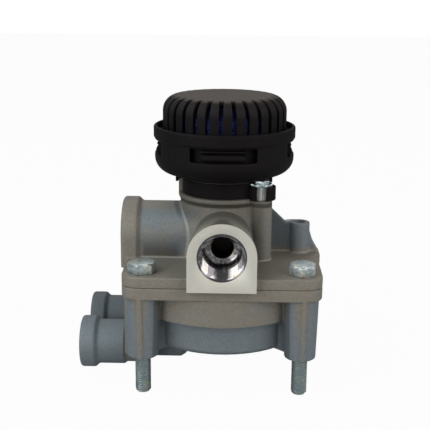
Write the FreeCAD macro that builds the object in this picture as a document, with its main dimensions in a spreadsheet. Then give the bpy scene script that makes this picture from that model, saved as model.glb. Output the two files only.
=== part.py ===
import FreeCAD, Part
import Sketcher
import math
import os
from FreeCAD import Placement, Rotation, Vector

# Air brake relay valve with two control ports, as it stands on its four bolt ends:
# silencer on top, supply port to the left (-X), delivery ports to the front and back,
# control ports low on the left. Millimetres, +Z up, origin at the centre of the four
# bolts on the plane where the bolt bosses seat on the bracket.

DRIVING_SIZES = [
    # joint between the two castings, and the four bolts through it
    ("flange_half", 50.0, "half side of the square joint flange"),
    ("flange_corner", 8.0, "corner radius of the joint flange"),
    ("case_height", 38.4, "bolt seats up to the joint plane"),
    ("case_flange", 6.1, "flange thickness of the lower casting"),
    ("housing_flange", 5.6, "flange thickness of the upper casting"),
    ("bolt_offset", 40.0, "half the bolt spacing"),
    ("bolt_radius", 4.0, "M8 bolt"),
    ("bolt_length", 64.2, "M8 x 65 bolt as measured, under the head to the tip"),
    ("bolt_hole_gap", 0.5, "play between bolt and hole"),
    ("bolt_tip_chamfer", 0.9, "chamfer at the bolt tip"),
    ("shank_relief", 0.1, "bolt shank inside the castings, under the stud radius"),
    ("head_flats", 13.0, "bolt head across the flats"),
    ("head_height", 5.3, "bolt head height"),
    ("boss_foot_radius", 8.0, "bolt boss at its seat"),
    ("boss_root_radius", 8.9, "bolt boss under the flange"),
    ("rib_width", 2.8, "draft rib on each bolt boss"),
    ("rib_shift", 0.8, "rib centre outside the bolt centre"),
    # lower casting
    ("case_radius", 49.7, "relay chamber outside"),
    ("case_step", 20.6, "joint plane down to where the casting gets narrower"),
    ("cover_radius", 44.5, "control chamber outside"),
    ("cover_level", 0.9, "underside of the control chamber"),
    ("cover_bevel", 2.0, "bevel round the underside"),
    ("cover_floor", 4.9, "floor under the control piston"),
    ("cover_web_level", 0.2, "underside of the webs from the bosses"),
    ("web_width", 6.0, "web from boss to control chamber"),
    ("port_block_depth", 15.0, "block behind the control ports"),
    ("port_block_half", 34.0, "half length of that block"),
    ("port_block_drop", 3.2, "block below the bolt seats"),
    # control ports, M16 x 1.5
    ("control_port_y", 18.9, "control port axes either side of the middle"),
    ("control_port_level", -2.3, "level of the control port axes"),
    ("control_port_reach", 74.4, "control port faces from the middle"),
    ("control_collar_radius", 13.6, "control port collar"),
    ("control_collar_length", 7.6, "control port collar"),
    ("control_bevel", 1.9, "collar down to barrel"),
    ("control_barrel_radius", 11.7, "control port barrel"),
    ("control_root_radius", 7.3, "barrel under the casting"),
    ("control_root_reach", 18.5, "end of the front barrel under the casting"),
    ("control_root_round", 2.0, "bevel at that end"),
    ("control_neck", 1.1, "barrel narrower beside the flange"),
    ("front_riser", 26.0, "riser from the front control port, from the middle"),
    ("control_minor_radius", 7.188, "M16 x 1.5 thread core"),
    ("control_thread_depth", 12.0, "thread depth"),
    ("control_passage_radius", 2.0, "drilled passage"),
    # bores and pistons
    ("relay_bore", 46.0, "relay piston bore radius"),
    ("relay_depth", 17.1, "relay piston bore below the joint plane"),
    ("control_bore", 40.5, "control piston bore radius"),
    ("piston_gap", 0.15, "piston play in its bore"),
    ("stop_gap", 0.3, "clearance of a piston over its stop"),
    ("stop_pad", 0.5, "stop pad on the chamber floor"),
    ("relay_rim", 11.6, "relay piston rim height"),
    ("control_rim", 9.8, "control piston rim height"),
    ("piston_web", 3.0, "piston web thickness"),
    ("rim_wall", 4.6, "piston rim wall with its groove"),
    ("groove_depth", 2.6, "piston ring groove depth"),
    ("housing_seal_half", 0.95, "half section of the seal between the castings"),
    ("ring_section", 1.25, "half section of a piston ring"),
    ("seal_gap", 0.05, "play of a seal ring in its groove"),
    ("relay_hub", 12.0, "relay piston hub radius"),
    ("control_hub", 10.0, "control piston hub radius"),
    ("hub_gap", 0.2, "clearance between the two piston hubs"),
    ("hub_rise", 2.4, "relay hub underside over the bottom of its bore"),
    ("hub_step", 1.1, "relay web over the underside of the hub"),
    ("web_rise", 1.7, "control piston web over the edge of its rim"),
    ("hub_hollow", 3.0, "wall of the control piston hub"),
    ("hub_crown", 3.5, "top of the control piston hub"),
    ("stem_radius", 8.0, "hollow stem of the relay piston"),
    ("stem_wall", 1.8, "wall of that stem"),
    ("exhaust_gap", 1.6, "stem to valve disc at rest"),
    # valve in the neck
    ("delivery_chamber", 21.0, "chamber radius under the inlet seat"),
    ("delivery_ceiling", 7.4, "ceiling of that chamber over the joint"),
    ("seat_wall", 4.0, "wall that carries the inlet seat"),
    ("seat_hole", 10.2, "hole in the inlet seat"),
    ("seat_land", 1.2, "width of the seat ring"),
    ("seat_rise", 1.5, "height of the seat ring"),
    ("neck_bore", 17.0, "bore of the neck"),
    ("disc_radius", 12.8, "valve disc"),
    ("disc_thickness", 2.5, "rubber of the valve disc"),
    ("carrier_thickness", 1.8, "metal plate of the valve disc"),
    ("valve_tube", 7.5, "valve stem outer radius"),
    ("valve_tube_bore", 5.6, "valve stem bore, the exhaust way"),
    ("valve_tube_length", 20.4, "valve stem above the rubber"),
    ("spring_space", 8.8, "spring between plate and guide at rest"),
    ("spring_radius", 10.6, "valve spring mean radius"),
    ("spring_wire", 0.7, "valve spring wire radius"),
    ("spring_turns", 3.25, "valve spring turns"),
    ("guide_height", 8.8, "valve guide"),
    ("guide_pilot", 2.0, "pilot of the guide inside the spring"),
    ("guide_gap", 0.08, "play of the stem in the guide"),
    ("guide_seal", 1.0, "half section of the guide's seal rings"),
    ("snap_ring", 1.2, "retaining ring thickness"),
    ("snap_depth", 1.2, "retaining ring groove depth"),
    # neck outside
    ("neck_foot", 25.3, "neck radius at the flange"),
    ("neck_waist", 22.9, "neck radius under the band ring"),
    ("neck_ring", 24.0, "band ring radius"),
    ("neck_height", 42.1, "neck above the flange"),
    ("waist_height", 28.7, "waist above the flange"),
    ("ring_height", 31.0, "band ring above the flange"),
    ("band_seat_height", 32.8, "band seat above the flange"),
    ("band_seat_radius", 19.7, "neck under the band"),
    ("band_height", 7.9, "locking band"),
    ("shoulder_height", 39.2, "rear shoulder above the flange"),
    ("lip_radius", 22.3, "lip at the top of the neck"),
    # ports, M22 x 1.5
    ("port_minor_radius", 10.188, "M22 x 1.5 thread core"),
    ("port_thread_depth", 15.0, "thread depth"),
    ("port_countersink", 12.4, "countersink radius"),
    ("port_step_radius", 8.15, "stepped ring behind the thread"),
    ("port_throat_radius", 5.75, "throat of a delivery port"),
    ("supply_reach", 53.4, "supply port face from the middle"),
    ("supply_level", 15.7, "supply port axis over the joint"),
    ("supply_collar_radius", 18.5, "supply port collar"),
    ("supply_collar_length", 8.1, "supply port collar"),
    ("supply_bevel", 2.2, "collar down to barrel"),
    ("supply_barrel_radius", 16.4, "supply port barrel"),
    ("supply_throat_radius", 6.8, "supply passage"),
    ("supply_throat_rise", 3.2, "supply passage above the port axis"),
    ("delivery_reach", 55.0, "delivery port faces from the middle"),
    ("delivery_level", 17.7, "delivery port axis over the joint"),
    ("delivery_radius", 17.0, "delivery port pad"),
    ("delivery_draft", 3.6, "delivery port narrower at the main axis than at its face"),
    ("delivery_drop_y", 29.5, "passage down from a delivery port"),
    ("delivery_drop_radius", 5.4, "passage down from a delivery port"),
    # clamp tower, side boss and its web
    ("tower_x", 19.4, "clamp tower"),
    ("tower_y", 15.2, "clamp tower, towards the front"),
    ("tower_radius", 5.8, "clamp tower"),
    ("tower_height", 32.1, "clamp tower above the flange"),
    ("clamp_screw_radius", 2.5, "M5 clamp screw"),
    ("clamp_screw_depth", 12.0, "clamp screw in the tower"),
    ("sleeve_radius", 4.0, "spacer sleeve in the band lug"),
    ("sleeve_length", 7.0, "spacer sleeve"),
    ("screw_flange_radius", 5.75, "serrated flange of the clamp screw"),
    ("screw_flange", 1.4, "thickness of that flange"),
    ("screw_head_flats", 7.0, "clamp screw head"),
    ("screw_head", 1.6, "clamp screw head height"),
    ("side_boss_x", 40.8, "side boss"),
    ("side_boss_radius", 5.4, "side boss"),
    ("side_boss_height", 16.3, "side boss above the flange"),
    ("side_gusset_drop", 7.0, "gusset under the top of the side boss"),
    ("side_web_drop", 0.5, "web under the top of the side boss"),
    ("side_web_flat", 7.0, "level part of the web beside the boss"),
    ("side_web_rise", 7.0, "web at the neck over the top of the boss"),
    ("side_hole_radius", 3.0, "hole of the side boss"),
    ("side_hole_depth", 5.5, "hole of the side boss"),
    ("side_web", 3.0, "thickness of the side web"),
    ("side_pad", 1.7, "flange bulge under the side gusset"),
    ("side_pad_half", 10.0, "half length of that bulge"),
    ("side_pad_flat", 6.0, "half length of its straight edge"),
    # silencer
    ("spigot_bore", 12.5, "bore of the silencer base"),
    ("spigot_depth", 9.7, "spigot inside the neck"),
    ("spigot_gap", 0.1, "play of the spigot in the neck"),
    ("spigot_seal", 1.0, "half section of the spigot's seal ring"),
    ("base_radius", 25.7, "silencer base plate"),
    ("base_plate", 1.7, "silencer base plate thickness"),
    ("skirt_drop", 4.7, "skirt behind the neck"),
    ("base_tube_wall", 1.4, "tube that holds the collar"),
    ("collar_radius", 36.4, "silencer collar"),
    ("collar_band_radius", 37.0, "band under the rim of the collar"),
    ("collar_band", 6.0, "height of that band"),
    ("collar_height", 24.5, "silencer collar"),
    ("collar_round", 8.0, "lower rounding of the collar"),
    ("collar_wall", 2.2, "silencer collar wall"),
    ("collar_ledge", 6.5, "ledge that the cap stands on"),
    ("window_width", 33.0, "clip window"),
    ("window_low", 10.2, "window sill above the collar's underside"),
    ("window_height", 7.2, "clip window"),
    ("cap_radius", 32.2, "silencer cap"),
    ("cap_round", 8.0, "shoulder rounding of the cap"),
    ("cap_wall", 2.2, "silencer cap wall"),
    ("cap_height", 33.5, "cap above its ledge"),
    ("slot_count", 30.0, "slots round the cap"),
    ("slot_width", 2.1, "slot"),
    ("slot_start", 25.0, "radius where the slots start"),
    ("slot_foot", 15.0, "solid foot of the cap under the slots"),
    ("clip_width", 22.0, "snap clip"),
    ("clip_roll", 1.9, "roll of the snap clip"),
    ("filter_gap", 0.4, "filter inside the cap"),
    ("filter_bore", 15.5, "filter inner radius"),
    ("filter_head_room", 1.4, "cap over the filter"),
    ("band_thickness", 2.25, "locking band strap"),
    ("band_gap", 0.05, "play of the band round the neck"),
    ("lug_radius", 7.5, "lug of the band"),
    ("lug_window", 4.8, "window in the front of the lug"),
    ("key_width", 4.4, "key of the band through the neck wall"),
    ("key_height", 2.2, "key of the band"),
    ("key_gap", 0.3, "play of a key in its window and groove"),
    ("key_depth", 1.4, "groove in the spigot for the keys"),
    ("key_level", 4.5, "keys under the neck's top"),
]


class Size:
    """A length with the spreadsheet expression that drives it."""

    def __init__(self, value, text):
        self.value = float(value)
        self.text = text

    @staticmethod
    def of(other):
        return other if isinstance(other, Size) else Size(other, repr(float(other)))

    def __add__(self, other):
        other = Size.of(other)
        return Size(self.value + other.value, f"({self.text} + {other.text})")

    def __radd__(self, other):
        return Size.of(other) + self

    def __sub__(self, other):
        other = Size.of(other)
        return Size(self.value - other.value, f"({self.text} - {other.text})")

    def __rsub__(self, other):
        return Size.of(other) - self

    def __mul__(self, other):
        other = Size.of(other)
        return Size(self.value * other.value, f"({self.text} * {other.text})")

    def __rmul__(self, other):
        return Size.of(other) * self

    def __truediv__(self, other):
        other = Size.of(other)
        return Size(self.value / other.value, f"({self.text} / {other.text})")

    def __neg__(self):
        return Size(-self.value, f"(0 - {self.text})")


class Driving:
    """The driving sizes as attributes, one for each alias of the sheet."""

    def __init__(self, rows):
        for alias, value, _ in rows:
            setattr(self, alias, Size(value, "Sizes." + alias))


doc = FreeCAD.newDocument("RelayValve")
sheet = doc.addObject("Spreadsheet::Sheet", "Sizes")
for row, (alias, value, note) in enumerate(DRIVING_SIZES, start=1):
    sheet.set(f"A{row}", note)
    sheet.set(f"B{row}", str(value))
    sheet.setAlias(f"B{row}", alias)
doc.recompute()
S = Driving(DRIVING_SIZES)


# Bound primitives

def bind(thing, prop, size):
    """Drive one property of an object by a size."""
    size = Size.of(size)
    thing.setExpression(prop, size.text)


def place(thing, x, y, z, rotation=None):
    """Put an object at a bound place, turned as a whole."""
    if rotation is not None:
        thing.Placement = Placement(Vector(0, 0, 0), rotation)
    for axis, size in (("x", x), ("y", y), ("z", z)):
        bind(thing, f"Placement.Base.{axis}", size)
    return thing


def cylinder(name, radius, low, high, x=0, y=0):
    """An upright cylinder between two levels."""
    thing = doc.addObject("Part::Cylinder", name)
    bind(thing, "Radius", radius)
    bind(thing, "Height", high - low)
    return place(thing, x, y, low)


def cone(name, low_radius, high_radius, low, high, x=0, y=0):
    """An upright cone between two levels."""
    thing = doc.addObject("Part::Cone", name)
    bind(thing, "Radius1", low_radius)
    bind(thing, "Radius2", high_radius)
    bind(thing, "Height", high - low)
    return place(thing, x, y, low)


def box(name, low, high):
    """A box between two corners."""
    thing = doc.addObject("Part::Box", name)
    for prop, a, b in zip(("Length", "Width", "Height"), low, high):
        bind(thing, prop, Size.of(b) - a)
    return place(thing, *low)


def seal_ring(name, middle, half, level):
    """A seal ring of square section about the main axis, as it fills its groove."""
    inner, outer, low, high = middle - half, middle + half, level - half, level + half
    return turned(name, [(inner, low), (outer, low), (outer, high), (inner, high)])


def hexagon(name, flats, low, high, x, y, turn):
    """A hexagonal prism, given across its flats."""
    thing = doc.addObject("Part::Prism", name)
    thing.Polygon = 6
    bind(thing, "Circumradius", flats / math.sqrt(3))
    bind(thing, "Height", high - low)
    return place(thing, x, y, low, Rotation(Vector(0, 0, 1), turn))


def fuse(name, *things):
    """One solid from several."""
    whole = doc.addObject("Part::MultiFuse", name)
    whole.Shapes = list(things)
    whole.Refine = True
    return whole


def cut(name, base, *tools):
    """A solid less its tools."""
    rest = doc.addObject("Part::Cut", name)
    rest.Base = base
    rest.Tool = tools[0] if len(tools) == 1 else fuse(name + "Tools", *tools)
    rest.Refine = True
    return rest


def common(name, first, second):
    """What two solids share."""
    shared = doc.addObject("Part::Common", name)
    shared.Base = first
    shared.Tool = second
    shared.Refine = True
    return shared


# Sketched forms

def arc_between(start, end, radius):
    """The short arc from start to end; a positive radius keeps its centre on the left."""
    chord = end - start
    middle = (start + end) * 0.5
    left = Vector(-chord.y, chord.x, 0).normalize()
    rise = math.sqrt(max(radius * radius - (chord.Length * 0.5) ** 2, 0.0))
    centre = middle + left * math.copysign(rise, radius)
    circle = Part.Circle(centre, Vector(0, 0, 1), abs(radius))
    first = math.atan2(start.y - centre.y, start.x - centre.x)
    last = math.atan2(end.y - centre.y, end.x - centre.x)
    if radius > 0:
        return Part.ArcOfCircle(circle, first, last), 1, 2
    return Part.ArcOfCircle(circle, last, first), 2, 1


def draw(sketch, corners):
    """Draw a closed outline; a third entry in a corner is the radius of the arc to the next."""
    spots = [Vector(Size.of(c[0]).value, Size.of(c[1]).value, 0) for c in corners]
    ends = []
    for i, corner in enumerate(corners):
        start, end = spots[i], spots[(i + 1) % len(spots)]
        if len(corner) == 3:
            edge, first, last = arc_between(start, end, Size.of(corner[2]).value)
        else:
            edge, first, last = Part.LineSegment(start, end), 1, 2
        geo = sketch.addGeometry(edge, False)
        ends.append((geo, first, last))
    for i, corner in enumerate(corners):
        geo, first, _ = ends[i]
        before, _, last = ends[i - 1]
        sketch.addConstraint(Sketcher.Constraint("Coincident", before, last, geo, first))
        for kind, line, size in (("DistanceX", -2, corner[0]), ("DistanceY", -1, corner[1])):
            size = Size.of(size)
            if size.value == 0:
                sketch.addConstraint(Sketcher.Constraint("PointOnObject", geo, first, line))
                continue
            row = sketch.addConstraint(Sketcher.Constraint(kind, -1, 1, geo, first, size.value))
            sketch.setExpression(f"Constraints[{row}]", size.text)
        if len(corner) == 3:
            radius = Size.of(corner[2])
            if radius.value < 0:
                radius = -radius
            row = sketch.addConstraint(Sketcher.Constraint("Radius", geo, radius.value))
            sketch.setExpression(f"Constraints[{row}]", radius.text)
    return sketch


def origin_part(body, role):
    """A plane or axis of a body's own origin."""
    return next(item for item in body.Origin.OriginFeatures if item.Role == role)


def turned(name, section):
    """A body turned about the main axis from its section, as (radius, level) corners."""
    body = doc.addObject("PartDesign::Body", name)
    sketch = body.newObject("Sketcher::SketchObject", name + "Section")
    sketch.AttachmentSupport = [(origin_part(body, "XZ_Plane"), "")]
    sketch.MapMode = "FlatFace"
    draw(sketch, section)
    turn = body.newObject("PartDesign::Revolution", name + "Turn")
    turn.Profile = sketch
    turn.ReferenceAxis = (sketch, ["V_Axis"])
    turn.Angle = 360
    return body


def plate(name, corners, low, high):
    """A flat plate with the given plan outline between two levels."""
    sketch = doc.addObject("Sketcher::SketchObject", name + "Plan")
    draw(sketch, corners)
    place(sketch, 0, 0, low)
    slab = doc.addObject("Part::Extrusion", name)
    slab.Base = sketch
    slab.DirMode = "Normal"
    slab.Solid = True
    bind(slab, "LengthFwd", high - low)
    return slab


def upright_web(name, corners, thickness, middle):
    """A web in the XZ plane, of the given outline, centred on a Y position."""
    sketch = doc.addObject("Sketcher::SketchObject", name + "Outline")
    draw(sketch, corners)
    place(sketch, 0, middle, 0, Rotation(Vector(1, 0, 0), 90))
    web = doc.addObject("Part::Extrusion", name)
    web.Base = sketch
    web.DirMode = "Normal"
    web.Solid = True
    bind(web, "LengthFwd", thickness / 2)
    bind(web, "LengthRev", thickness / 2)
    return web


def lying(name, section, x, y, z, direction):
    """A body turned about an axis that lies along a direction, from (radius, distance) corners."""
    body = turned(name, section)
    return place(body, x, y, z, Rotation(Vector(0, 0, 1), direction))


def flange_plan():
    """Plan of the joint flange, a square with round corners."""
    far, near, corner = S.flange_half, S.flange_half - S.flange_corner, S.flange_corner
    return [
        (-near, -far), (near, -far, corner), (far, -near), (far, near, corner),
        (near, far), (-near, far, corner), (-far, near), (-far, -near, corner),
    ]


CORNERS = [(-1, -1), (1, -1), (1, 1), (-1, 1)]
HEAD_TURNS = (-15, -6, 12, 22)
LEFTWARD = Vector(-1, 0, 0)
OVERSHOOT = 2.0
KEY_ANGLES = (-118, -72)
SLOT_TURN = 3.35
COUNTERSINK_DEPTH = 1.5
SPIGOT_SEAL_HEIGHT = 2.2
FLANGE_TOP = S.case_height + S.housing_flange
NECK_TOP = FLANGE_TOP + S.neck_height
BAND_SEAT = FLANGE_TOP + S.band_seat_height
TOWER_TOP = FLANGE_TOP + S.tower_height
SEAT_FLOOR = S.case_height + S.delivery_ceiling + S.seat_wall
SEAT_TOP = SEAT_FLOOR + S.seat_rise
CARRIER_LOW = SEAT_TOP + S.disc_thickness
CARRIER_TOP = CARRIER_LOW + S.carrier_thickness
GUIDE_LOW = CARRIER_TOP + S.spring_space
GUIDE_TOP = GUIDE_LOW + S.guide_height
BOLT_TIP = FLANGE_TOP - S.bolt_length
SUPPLY_AXIS = S.case_height + S.supply_level
DELIVERY_AXIS = S.case_height + S.delivery_level
COLLAR_LOW = NECK_TOP + S.base_plate
LEDGE = COLLAR_LOW + S.collar_ledge
CAP_TOP = LEDGE + S.cap_height
KEY_MIDDLE = NECK_TOP - S.key_level
RELAY_FLOOR = S.case_height - S.relay_depth
RELAY_LOW = RELAY_FLOOR + S.stop_gap
HUB_LEVEL = RELAY_FLOOR + S.hub_rise
CONTROL_LOW = S.cover_level + S.cover_floor + S.stop_pad + S.stop_gap
HOUSING_SEAL_SPACE = S.seal_gap * 4 + S.housing_seal_half * 2
SLEEVE_TOP = TOWER_TOP + S.sleeve_length


def leg_of(longest, other):
    """The third side of a right triangle."""
    value = math.sqrt(longest.value ** 2 - other.value ** 2)
    return Size(value, f"sqrt({longest.text} * {longest.text} - {other.text} * {other.text})")


def radial_box(name, angle, near, far, width, low, high):
    """A box that points out from the main axis at an angle in degrees."""
    thing = doc.addObject("Part::Box", name)
    bind(thing, "Length", Size.of(far) - near)
    bind(thing, "Width", width)
    bind(thing, "Height", high - low)
    across, along = math.cos(math.radians(angle)), math.sin(math.radians(angle))
    x = near * across + width * (along / 2)
    y = near * along - width * (across / 2)
    return place(thing, x, y, low, Rotation(Vector(0, 0, 1), angle))


def corner_holes(name, low, high):
    """The four bolt holes through a casting."""
    radius = S.bolt_radius + S.bolt_hole_gap
    return [cylinder(f"{name}{i}", radius, low, high, S.bolt_offset * sx, S.bolt_offset * sy)
            for i, (sx, sy) in enumerate(CORNERS)]


# Upper casting

def neck_form():
    """Outside of the neck: drafted foot, waist, band ring, rear shoulder and lip."""
    return turned("NeckForm", [
        (0, S.case_height + 2), (S.neck_foot, S.case_height + 2), (S.neck_foot, FLANGE_TOP),
        (S.neck_waist, FLANGE_TOP + S.waist_height), (S.neck_ring, FLANGE_TOP + S.ring_height),
        (S.neck_ring, FLANGE_TOP + S.shoulder_height), (S.lip_radius, FLANGE_TOP + S.shoulder_height),
        (S.lip_radius, NECK_TOP), (0, NECK_TOP),
    ])


def band_channel():
    """Channel across the front of the neck for the locking band."""
    deep, wide = S.band_seat_radius, S.neck_foot + OVERSHOOT
    top = BAND_SEAT + S.band_height
    ring = turned("BandChannelRing", [(deep, BAND_SEAT), (wide, BAND_SEAT), (wide, top), (deep, top)])
    back = box("BandChannelBack", (-wide, S.band_gap - 1, BAND_SEAT - 1), (wide, wide, top + 1))
    return cut("BandChannel", ring, back)


def supply_port():
    """Arched supply port on the left with its collar."""
    reach, wide, slim = S.supply_reach, S.supply_collar_radius, S.supply_barrel_radius
    bevel = reach - S.supply_collar_length - S.supply_bevel
    arch = lying("SupplyArch", [
        (0, 0), (slim, 0), (slim, bevel), (wide, bevel + S.supply_bevel), (wide, reach - 1),
        (wide - 1, reach), (0, reach),
    ], 0, 0, SUPPLY_AXIS, LEFTWARD)
    legs = plate("SupplyLegs", [
        (-reach, 1 - wide), (1 - reach, -wide), (-bevel - S.supply_bevel, -wide), (-bevel, -slim),
        (-S.neck_bore, -slim), (-S.neck_bore, slim), (-bevel, slim), (-bevel - S.supply_bevel, wide),
        (1 - reach, wide), (-reach, wide - 1),
    ], S.case_height, SUPPLY_AXIS)
    return [arch, legs]


def delivery_port(name, side):
    """Arched delivery port with its casting draft, front (-1) or back (+1)."""
    wide, reach = S.delivery_radius, S.delivery_reach
    root = wide - S.delivery_draft
    arch = lying(name + "Arch", [(0, 0), (root, 0), (wide, reach), (0, reach)],
                 0, 0, DELIVERY_AXIS, Vector(0, side, 0))
    legs = plate(name + "Legs", [(-root, 0), (root, 0), (wide, reach * side), (-wide, reach * side)],
                 S.case_height, DELIVERY_AXIS)
    return [arch, legs]


def side_boss():
    """Blind boss on the right, its web to the neck and the gusset at the flange edge."""
    top = FLANGE_TOP + S.side_boss_height
    root = FLANGE_TOP - 1
    gusset_top = top - S.side_gusset_drop
    web_top = top - S.side_web_drop
    edge = S.flange_half + S.side_pad
    long, flat = S.side_pad_half, S.side_pad_flat
    boss = cylinder("SideBoss", S.side_boss_radius, root, top, S.side_boss_x, 0)
    web = upright_web("SideWeb", [
        (S.neck_bore + 2, root), (S.side_boss_x, root), (S.side_boss_x, web_top),
        (S.side_boss_x - S.side_web_flat, web_top), (S.neck_waist + 3, top + S.side_web_rise),
        (S.neck_bore + 2, top + S.side_web_rise + 5),
    ], S.side_web, 0)
    gusset = upright_web("SideGusset", [
        (S.side_boss_x, root), (edge - 0.2, root), (edge - 0.2, FLANGE_TOP),
        (S.side_boss_x + S.side_boss_radius, gusset_top), (S.side_boss_x, gusset_top),
    ], S.side_web, 0)
    pad = plate("SidePad", [
        (S.flange_half - 1, -long), (S.flange_half, -long), (edge, -flat), (edge, flat),
        (S.flange_half, long), (S.flange_half - 1, long),
    ], S.case_height, FLANGE_TOP)
    return [boss, web, gusset, pad]


def neck_cavity():
    """Delivery chamber, inlet seat, valve chamber and bore of the neck with its ring groove."""
    ceiling = S.case_height + S.delivery_ceiling
    groove_top = GUIDE_TOP + S.snap_ring + S.stop_gap
    return turned("NeckCavity", [
        (0, S.case_height - OVERSHOOT), (S.delivery_chamber, S.case_height - OVERSHOOT),
        (S.delivery_chamber, ceiling), (S.seat_hole, ceiling), (S.seat_hole, SEAT_TOP),
        (S.seat_hole + S.seat_land, SEAT_TOP), (S.seat_hole + S.seat_land + 0.8, SEAT_FLOOR),
        (S.neck_bore, SEAT_FLOOR), (S.neck_bore, GUIDE_TOP), (S.neck_bore + S.snap_depth, GUIDE_TOP),
        (S.neck_bore + S.snap_depth, groove_top), (S.neck_bore, groove_top),
        (S.neck_bore, NECK_TOP + OVERSHOOT), (0, NECK_TOP + OVERSHOOT),
    ])


def supply_bore():
    """Threaded supply port and its passage to the valve chamber."""
    reach = S.supply_reach
    bore = lying("SupplyBore", [
        (0, reach - S.port_thread_depth), (S.port_minor_radius, reach - S.port_thread_depth),
        (S.port_minor_radius, reach - COUNTERSINK_DEPTH), (S.port_countersink, reach),
        (S.port_countersink, reach + OVERSHOOT), (0, reach + OVERSHOOT),
    ], 0, 0, SUPPLY_AXIS, LEFTWARD)
    throat = lying("SupplyThroat", [
        (0, S.neck_bore - 3), (S.supply_throat_radius, S.neck_bore - 3),
        (S.supply_throat_radius, reach - S.port_thread_depth + 1), (0, reach - S.port_thread_depth + 1),
    ], 0, 0, SUPPLY_AXIS + S.supply_throat_rise, LEFTWARD)
    return [bore, throat]


def delivery_bore(name, side):
    """Stepped, threaded delivery port and the passage down to the relay chamber."""
    reach = S.delivery_reach
    step = reach - S.port_thread_depth
    bore = lying(name, [
        (0, S.delivery_drop_y - S.delivery_drop_radius - 1),
        (S.port_throat_radius, S.delivery_drop_y - S.delivery_drop_radius - 1),
        (S.port_throat_radius, step - 3), (S.port_step_radius, step - 2.4), (S.port_step_radius, step),
        (S.port_minor_radius, step), (S.port_minor_radius, reach - COUNTERSINK_DEPTH),
        (S.port_countersink, reach), (S.port_countersink, reach + OVERSHOOT), (0, reach + OVERSHOOT),
    ], 0, 0, DELIVERY_AXIS, Vector(0, side, 0))
    drop = cylinder(name + "Drop", S.delivery_drop_radius, S.case_height - OVERSHOOT, DELIVERY_AXIS,
                    0, S.delivery_drop_y * side)
    return [bore, drop]


def key_windows():
    """Windows in the front of the neck for the keys of the locking band."""
    low = KEY_MIDDLE - S.key_height / 2 - S.key_gap
    high = KEY_MIDDLE + S.key_height / 2 + S.key_gap
    return [radial_box(f"KeyWindow{i}", angle, S.neck_bore - 2, S.neck_ring, S.key_width + S.key_gap * 2,
                       low, high) for i, angle in enumerate(KEY_ANGLES)]


def valve_housing():
    """Upper casting: joint flange, neck, three ports, clamp tower and side boss."""
    solid = fuse(
        "HousingSolid",
        plate("HousingFlange", flange_plan(), S.case_height, FLANGE_TOP),
        neck_form(),
        *supply_port(),
        *delivery_port("FrontPort", -1),
        *delivery_port("RearPort", 1),
        cylinder("ClampTower", S.tower_radius, FLANGE_TOP - 1, TOWER_TOP, S.tower_x, -S.tower_y),
        *side_boss(),
    )
    pocket_top = NECK_TOP + OVERSHOOT
    return cut(
        "ValveHousing", solid, neck_cavity(), band_channel(), *supply_bore(),
        *delivery_bore("FrontBore", -1), *delivery_bore("RearBore", 1),
        *corner_holes("HousingBoltHole", S.case_height - 1, FLANGE_TOP + 1), *key_windows(),
        cylinder("ClampHole", S.clamp_screw_radius + S.band_gap, TOWER_TOP - S.clamp_screw_depth - 1,
                 TOWER_TOP + 1, S.tower_x, -S.tower_y),
        cylinder("SleevePocket", S.sleeve_radius + S.stop_gap, TOWER_TOP, pocket_top,
                 S.tower_x, -S.tower_y),
        cylinder("HeadPocket", S.screw_flange_radius + S.stop_gap, SLEEVE_TOP - S.stop_gap, pocket_top,
                 S.tower_x, -S.tower_y),
        cylinder("SideHole", S.side_hole_radius, FLANGE_TOP + S.side_boss_height - S.side_hole_depth,
                 FLANGE_TOP + S.side_boss_height + 1, S.side_boss_x, 0),
        box("JointPlane",
            (-S.supply_reach - 1, -S.delivery_reach - 1, S.case_height - S.supply_collar_radius),
            (S.supply_reach + 1, S.delivery_reach + 1, S.case_height)),
    )


# Lower casting

def case_form():
    """Outside of the two chambers of the lower casting."""
    step = S.case_height - S.case_step
    return turned("CaseForm", [
        (0, S.cover_level), (S.cover_radius - S.cover_bevel, S.cover_level),
        (S.cover_radius, S.cover_level + S.cover_bevel), (S.cover_radius, step),
        (S.case_radius, step), (S.case_radius, S.case_height), (0, S.case_height),
    ])


def boss_rib(name, side_x, side_y):
    """Thin rib down the outer face of a bolt boss, flush with the flange."""
    top = S.case_height - 1
    out, foot = S.flange_half * side_y, (S.bolt_offset + S.boss_foot_radius + 0.9) * side_y
    inner = S.bolt_offset * side_y
    corners = [(inner, 0), (foot, 0), (out, top), (inner, top)]
    sketch = doc.addObject("Sketcher::SketchObject", name + "Outline")
    draw(sketch, corners)
    place(sketch, (S.bolt_offset + S.rib_shift) * side_x, 0, 0, Rotation(Vector(1, 1, 1), 120))
    rib = doc.addObject("Part::Extrusion", name)
    rib.Base = sketch
    rib.DirMode = "Normal"
    rib.Solid = True
    bind(rib, "LengthFwd", S.rib_width / 2)
    bind(rib, "LengthRev", S.rib_width / 2)
    return rib


def control_barrel(name, side, start):
    """Control port barrel with its collar, from its root under the casting."""
    reach = S.control_port_reach
    bevel = reach - S.control_collar_length - S.control_bevel
    wide, slim, root = S.control_collar_radius, S.control_barrel_radius, S.control_root_radius
    neck = slim - S.control_neck
    return lying(name, [
        (0, start), (root - S.control_root_round, start), (root, start + S.control_root_round * 1.5),
        (root, S.flange_half - S.port_block_depth), (neck, S.flange_half - S.case_flange),
        (neck, S.flange_half + 0.5), (slim, S.flange_half + 1.2),
        (slim, bevel), (wide, bevel + S.control_bevel), (wide, reach - 0.8), (wide - 0.8, reach),
        (0, reach),
    ], 0, S.control_port_y * side, S.control_port_level, LEFTWARD)


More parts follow.
